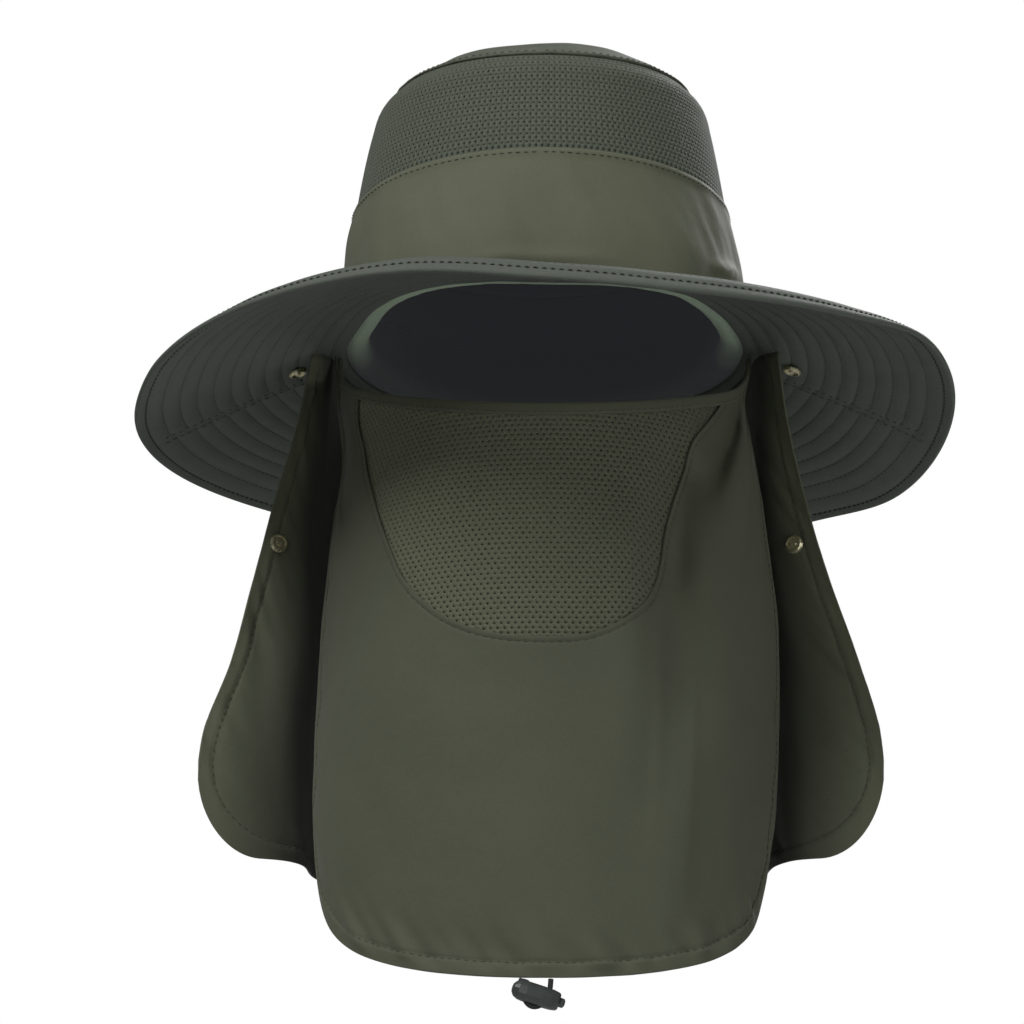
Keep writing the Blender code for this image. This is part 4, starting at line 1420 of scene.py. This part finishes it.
def top_band_place(u, v):
    """The folded band along the mask's upper edge: down its front, over the edge and down its back."""
    side = mix(-0.985, 0.985, u)
    down = TOP_BAND_HEIGHT * read_table(TOP_BAND_ROWS, "share", "down", v)
    out = read_table(TOP_BAND_ROWS, "share", "out", v)
    height = mask_top(side) - mask_hem(side)
    point = mask_point(side, down / height)
    ahead = mask_point(side + 0.01, down / height) - mask_point(side - 0.01, down / height)
    outward = Vector((ahead.y, -ahead.x, 0.0)).normalized()
    rise = 0.0005 * (1 - down / TOP_BAND_HEIGHT)
    return point + outward * (out + mask_wave(side * MASK_ARC, point.z)) + UP * rise


top_band = new_piece(
    "mask_top_band", bent_grid(260, 18, (0.30, 0.012), top_band_place), [mask_cloth]
)

# %% [markdown]
# ## Stitches
#
# A machine stitch is a short thread that dives into the cloth at both ends. Each stitch is a
# three-point curve with a round bevel, thin at its ends. The finished pieces are searched
# with rays, so that every stitch lies on the real surface, in the grooves made for it.

# %% Stitch helper
STITCH = 0.0026
STITCH_GAP = 0.0009
THREAD_RADIUS = 0.00024
RAY_START = 0.006
RAY_LENGTH = 0.014


def final_shape(item):
    """The final surface of an object, with its modifiers or its bevel."""
    bpy.context.view_layer.update()
    depsgraph = bpy.context.evaluated_depsgraph_get()
    data = bpy.data.meshes.new_from_object(item.evaluated_get(depsgraph))
    shape = bmesh.new()
    shape.from_mesh(data)
    bpy.data.meshes.remove(data)
    return shape


def surface_of(piece):
    """A search tree of a piece's final surface."""
    shape = final_shape(piece)
    tree = BVHTree.FromBMesh(shape)
    shape.free()
    return tree


def on_surface(tree, point, outward):
    """The nearest surface point seen from outside, and its normal."""
    hit, normal, _, _ = tree.ray_cast(point + outward * RAY_START, -outward, RAY_LENGTH)
    if hit:
        return hit, normal
    return tree.find_nearest(point)[:2]


def stitch_lines(name, lines, material, thick=THREAD_RADIUS):
    """Rows of stitches along lines; a line is a list of surface points with their normals."""
    data = new_curve(name, thick, 0)
    count = 0
    for line in lines:
        lengths = [0.0]
        for (start, _), (end, _) in zip(line, line[1:]):
            lengths.append(lengths[-1] + (end - start).length)
        place, index = 0.0, 0
        while place + STITCH < lengths[-1]:
            spots = []
            for share in (0.0, 0.5, 1.0):
                target = place + STITCH * share
                while lengths[index + 1] < target:
                    index += 1
                part = (target - lengths[index]) / max(lengths[index + 1] - lengths[index], 1e-9)
                (start, first), (end, second) = line[index], line[index + 1]
                height = thick * (0.9 if share == 0.5 else -0.6)
                spots.append(start.lerp(end, part) + first.lerp(second, part) * height)
            add_run(data, spots, (0.5, 1.0, 0.5))
            place += STITCH + STITCH_GAP
            count += 1
    curve = add_object(name + "_curve", data)
    shape = final_shape(curve)
    bmesh.ops.remove_doubles(shape, verts=shape.verts, dist=WELD)
    bpy.data.objects.remove(curve)
    piece = new_piece(name, shape, [material])
    print(name, count, "stitches")
    return piece


def surface_line(tree, places):
    """A line of places with outward directions, brought onto a surface."""
    return [on_surface(tree, point, outward) for point, outward in places]


# %% Stitches of the brim
brim_tree = surface_of(brim)
EDGE_THREAD_RADIUS = 0.00042
RING_STOP = 0.6
SEAM_TWIN = 0.9


def ring_line(ring, side, first, last):
    """A ring of the brim between two azimuths, on its upper (1) or lower (-1) face."""
    places = []
    steps = int(abs(last - first) / 0.75)
    for step in range(steps + 1):
        azimuth = mix(first, last, step / steps)
        turned = (azimuth + 180) % 360 - 180
        offset = BRIM_WIDTH - EDGE_STITCH - RING_STEP * ring
        if ring and abs(turned) > SIDE_SEAM:
            offset -= RING_SHIFT * ease((BRIM_WIDTH - offset) / 0.02)
        places.append((brim_point(azimuth, offset, 0), UP * side))
    return surface_line(brim_tree, places)


brim_edge_stitches = stitch_lines(
    "brim_edge_stitches", [ring_line(0, side, -180, 180) for side in (1, -1)], thread, EDGE_THREAD_RADIUS
)
brim_lines = []
for side in (1, -1):
    for ring in range(1, RING_COUNT):
        brim_lines.append(ring_line(ring, side, -SIDE_SEAM + RING_STOP, SIDE_SEAM - RING_STOP))
        brim_lines.append(ring_line(ring, side, SIDE_SEAM + RING_STOP, 360 - SIDE_SEAM - RING_STOP))
for azimuth in [seam + twin for seam in (-SIDE_SEAM, SIDE_SEAM) for twin in (-SEAM_TWIN, SEAM_TWIN)]:
    for side in (1, -1):
        places = []
        for step in range(101):
            offset = mix(0.004, BRIM_WIDTH - EDGE_STITCH * 1.6, step / 100)
            places.append((brim_point(azimuth, offset, 0), UP * side))
        brim_lines.append(surface_line(brim_tree, places))
brim_stitches = stitch_lines("brim_stitches", brim_lines, olive_thread)

# %% Stitches of the crown
BAND_STITCH = 0.965
TIP_STITCH = 0.03
CROWN_STITCH_STEPS = 480
band_tree = surface_of(crown_band)
tip_tree = surface_of(crown_tip)


def crown_line(tree, rows, bottom, height, share):
    """A line round the crown at a share of a piece's height."""
    places = []
    for step in range(CROWN_STITCH_STEPS + 1):
        azimuth = 360 * step / CROWN_STITCH_STEPS
        outward = Vector((*oval(1, 1, azimuth), 0.0))
        places.append((crown_point(rows, bottom, height, azimuth, share), outward))
    return surface_line(tree, places)


crown_stitches = stitch_lines(
    "crown_stitches",
    [
        crown_line(band_tree, BAND_ROWS, 0.0, BAND_HEIGHT, BAND_STITCH),
        crown_line(tip_tree, TIP_ROWS, TIP_BOTTOM, TIP_HEIGHT, TIP_STITCH),
    ],
    thread,
)

# %% Stitches of the flap
flap_tree = surface_of(flap)


def flap_hem_places():
    """Stations and heights along the flap's hem stitches, from one front edge to the other."""
    places = []
    turn = FLAP_CORNER_RADIUS - FLAP_HEM
    for step in range(60):
        height = mix(-0.012, -FLAP_FRONT_LENGTH + FLAP_CORNER_RADIUS, step / 60)
        places.append((1 - FLAP_HEM / flap_edge_speed(round(height, 3)), height))
    for step in range(25):
        angle = math.radians(90 * step / 24)
        across = FLAP_CORNER_RADIUS - turn * math.cos(angle)
        height = -FLAP_FRONT_LENGTH + FLAP_CORNER_RADIUS - turn * math.sin(angle)
        places.append((1 - across / flap_edge_speed(round(height, 3)), height))
    last = places[-1][0]
    for step in range(1, 120):
        station = last * (1 - step / 120)
        places.append((station, -flap_length(station) + FLAP_HEM))
    return places + [(-station, height) for station, height in reversed(places)]


def flap_outward(station, height):
    """The flap's outer normal at a place."""
    across = flap_point(station + 0.005, height) - flap_point(station - 0.005, height)
    down = flap_point(station, height - 0.002) - flap_point(station, height)
    return down.cross(across).normalized()


flap_places = [
    (flap_point(station, height), flap_outward(station, height))
    for station, height in flap_hem_places()
]
flap_lines = [
    surface_line(flap_tree, [(point, outward * face) for point, outward in flap_places])
    for face in (1, -1)
]
flap_stitches = stitch_lines("flap_stitches", flap_lines, olive_thread)

# %% Stitches of the mask
mask_tree = surface_of(mask)
band_top_tree = surface_of(top_band)


def inner_offset(line, distance):
    """A line of the mask laid flat, moved inward by a distance, as sides and drops."""
    moved = []
    for start, end in zip(line, line[1:]):
        run = (end - start).normalized()
        place = start + Vector((-run.y, run.x, 0.0)) * distance
        side = min(max(place.x / MASK_ARC, -0.995), 0.995)
        drop = (mask_top(side) - place.y) / (mask_top(side) - mask_hem(side))
        if drop > 0.012:
            moved.append((side, min(drop, 0.999)))
    return moved


def mask_line(tree, places, face):
    """A line of sides and drops, brought onto the mask's front (1) or back (-1) face."""
    return surface_line(tree, [
        (mask_point(side, drop), mask_outward(side) * face) for side, drop in places
    ])


hem_places = inner_offset(outline_line, MASK_HEM)
seam_places = inner_offset(window_line, -WINDOW_STITCH)
top_places = []
for step in range(241):
    side = mix(-0.97, 0.97, step / 240)
    top_places.append((side, (TOP_BAND_HEIGHT - TOP_BAND_STITCH) / (mask_top(side) - mask_hem(side))))
mask_lines = [
    mask_line(tree, places, face)
    for tree, places in ((mask_tree, hem_places), (mask_tree, seam_places), (band_top_tree, top_places))
    for face in (1, -1)
]
mask_stitches = stitch_lines("mask_stitches", mask_lines, olive_thread)

# %% [markdown]
# ## Snaps, lock and cord
#
# The press snaps are small turned rings of dark brass. The cord lock is moulded plastic with
# a soft gloss. Their solids have the right shape, so they keep it and get a better finish.

# %% Hard finishes


def worn_material(name, colour, roughness, metallic, scale, coat=0.0):
    """A hard finish with fine bumps, uneven colour and a little unevenness in its gloss."""
    material, tree, shader = new_material(name, colour, roughness, metallic)
    shader.inputs["Coat Weight"].default_value = coat
    dye = place_group(tree, dye_group, Patch_Scale=scale, Heather_Scale=scale * 6)
    shade_colour(tree, shader, colour, [(dye.outputs["Patches"], 0.75, 1.3)])
    gloss = add_node(tree, "ShaderNodeMapRange")
    gloss.inputs["To Min"].default_value = roughness * 0.75
    gloss.inputs["To Max"].default_value = roughness * 1.3
    tree.links.new(dye.outputs["Heather"], gloss.inputs["Value"])
    tree.links.new(gloss.outputs["Result"], shader.inputs["Roughness"])
    add_bump(tree, shader, dye.outputs["Heather"], 0.00004, 0.5)
    return material


brass = worn_material("aged brass", BRASS, 0.28, 0.9, 500.0)
plastic = worn_material("dark moulded plastic", PLASTIC, 0.36, 0.0, 300.0, 0.2)
elastic = worn_material("black elastic", ELASTIC, 0.75, 0.0, 1200.0)
cord_data.materials.append(elastic)
for node, finish in (
    ("flap_snap_left", brass), ("flap_snap_right", brass), ("brim_snap_left", brass),
    ("brim_snap_right", brass), ("lock_barrel", plastic), ("lock_button", plastic),
):
    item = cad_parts[node]
    item.material_slots[0].material = finish

# %% [markdown]
# ## What each piece stands for
#
# Every piece moves with a body and stands for the plain solid that it covers, which is
# hidden. The table also lists a material slot of the hat for each piece.

# %% Roles
ROLES = table("piece slot node", (
    (elastic_cord, "elastic", "mask_cord"),
    (crown_band, "cloth", "crown_band"),
    (crown_tip, "cloth", "crown_tip"),
    (crown_net, "mesh_cloth", "crown_mesh"),
    (sweatband, "sweat_tape", "sweatband"),
    (brim, "cloth", "brim"),
    (flap, "cloth", "neck_flap"),
    (mask, "cloth", "mask_panel"),
    (mask_net, "mesh_cloth", "mask_mesh"),
    (seam_tape, "sweat_tape", None),
    (top_band, "cloth", None),
))
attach(elastic_cord, "hat")
for role in ROLES:
    if role.node:
        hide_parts(role.node)

# %% [markdown]
# ## Floor and light
#
# The picture has a plain white ground. The floor is one pale sheet well below the hat. The
# camera sees a white room round it, but the room itself gives only weak light. The form
# comes from soft lamps: a large one at the upper left and three weaker ones round the hat.

# %% Stage
FLOOR = -0.75
STAGE_HALF = 6.0
STAGE_SHADE = 0.70
STAGE_GLOW = 0.65
ROOM_LIGHT = 0.11

stage_shape = bmesh.new()
bmesh.ops.create_grid(stage_shape, x_segments=1, y_segments=1, size=STAGE_HALF)
bmesh.ops.translate(stage_shape, verts=stage_shape.verts, vec=(0.0, 0.0, FLOOR))
stage_data = bpy.data.meshes.new("stage")
stage_shape.to_mesh(stage_data)
stage_shape.free()
stage_material, stage_tree, stage_shader = new_material("pale stage", (STAGE_SHADE,) * 3, 0.9)
stage_shader.inputs["Emission Color"].default_value = (*(STAGE_GLOW,) * 3, 1.0)
stage_seen = add_node(stage_tree, "ShaderNodeLightPath")
stage_tree.links.new(stage_seen.outputs["Is Camera Ray"], stage_shader.inputs["Emission Strength"])
stage_data.materials.append(stage_material)
stage = add_object("stage", stage_data)

world = bpy.data.worlds.new("studio")
world.use_nodes = True
room = world.node_tree.nodes["Background"]
room.inputs["Color"].default_value = (1.0, 1.0, 1.0, 1.0)
room_seen = add_node(world.node_tree, "ShaderNodeLightPath")
room_strength = add_node(world.node_tree, "ShaderNodeMapRange")
room_strength.inputs["To Min"].default_value = ROOM_LIGHT
world.node_tree.links.new(room_seen.outputs["Is Camera Ray"], room_strength.inputs["Value"])
world.node_tree.links.new(room_strength.outputs["Result"], room.inputs["Strength"])
bpy.context.scene.world = world
bpy.context.scene.view_settings.view_transform = "Standard"

# Soft square lamps that shine at the hat: size in metres, power in watts, cone in degrees
LAMP_AIM = Vector((0.0, 0.0, -0.1))
LAMPS = table("name place size power cone", (
    ("key", (-1.1, -1.6, 1.9), 1.3, 6.3, 50.0),
    ("fill", (1.9, -1.3, -0.5), 0.9, 1.8, 60.0),
    ("front", (-0.7, -2.3, -0.25), 1.2, 0.6, 50.0),
    ("back", (1.0, 2.2, 1.5), 1.2, 5.0, 50.0),
))
for row in LAMPS:
    light = bpy.data.lights.new(row.name, "AREA")
    light.size = row.size
    light.energy = row.power
    light.spread = math.radians(row.cone)
    lamp = add_object(row.name, light)
    lamp.location = row.place
    lamp.rotation_euler = (LAMP_AIM - Vector(row.place)).to_track_quat("-Z", "Y").to_euler()
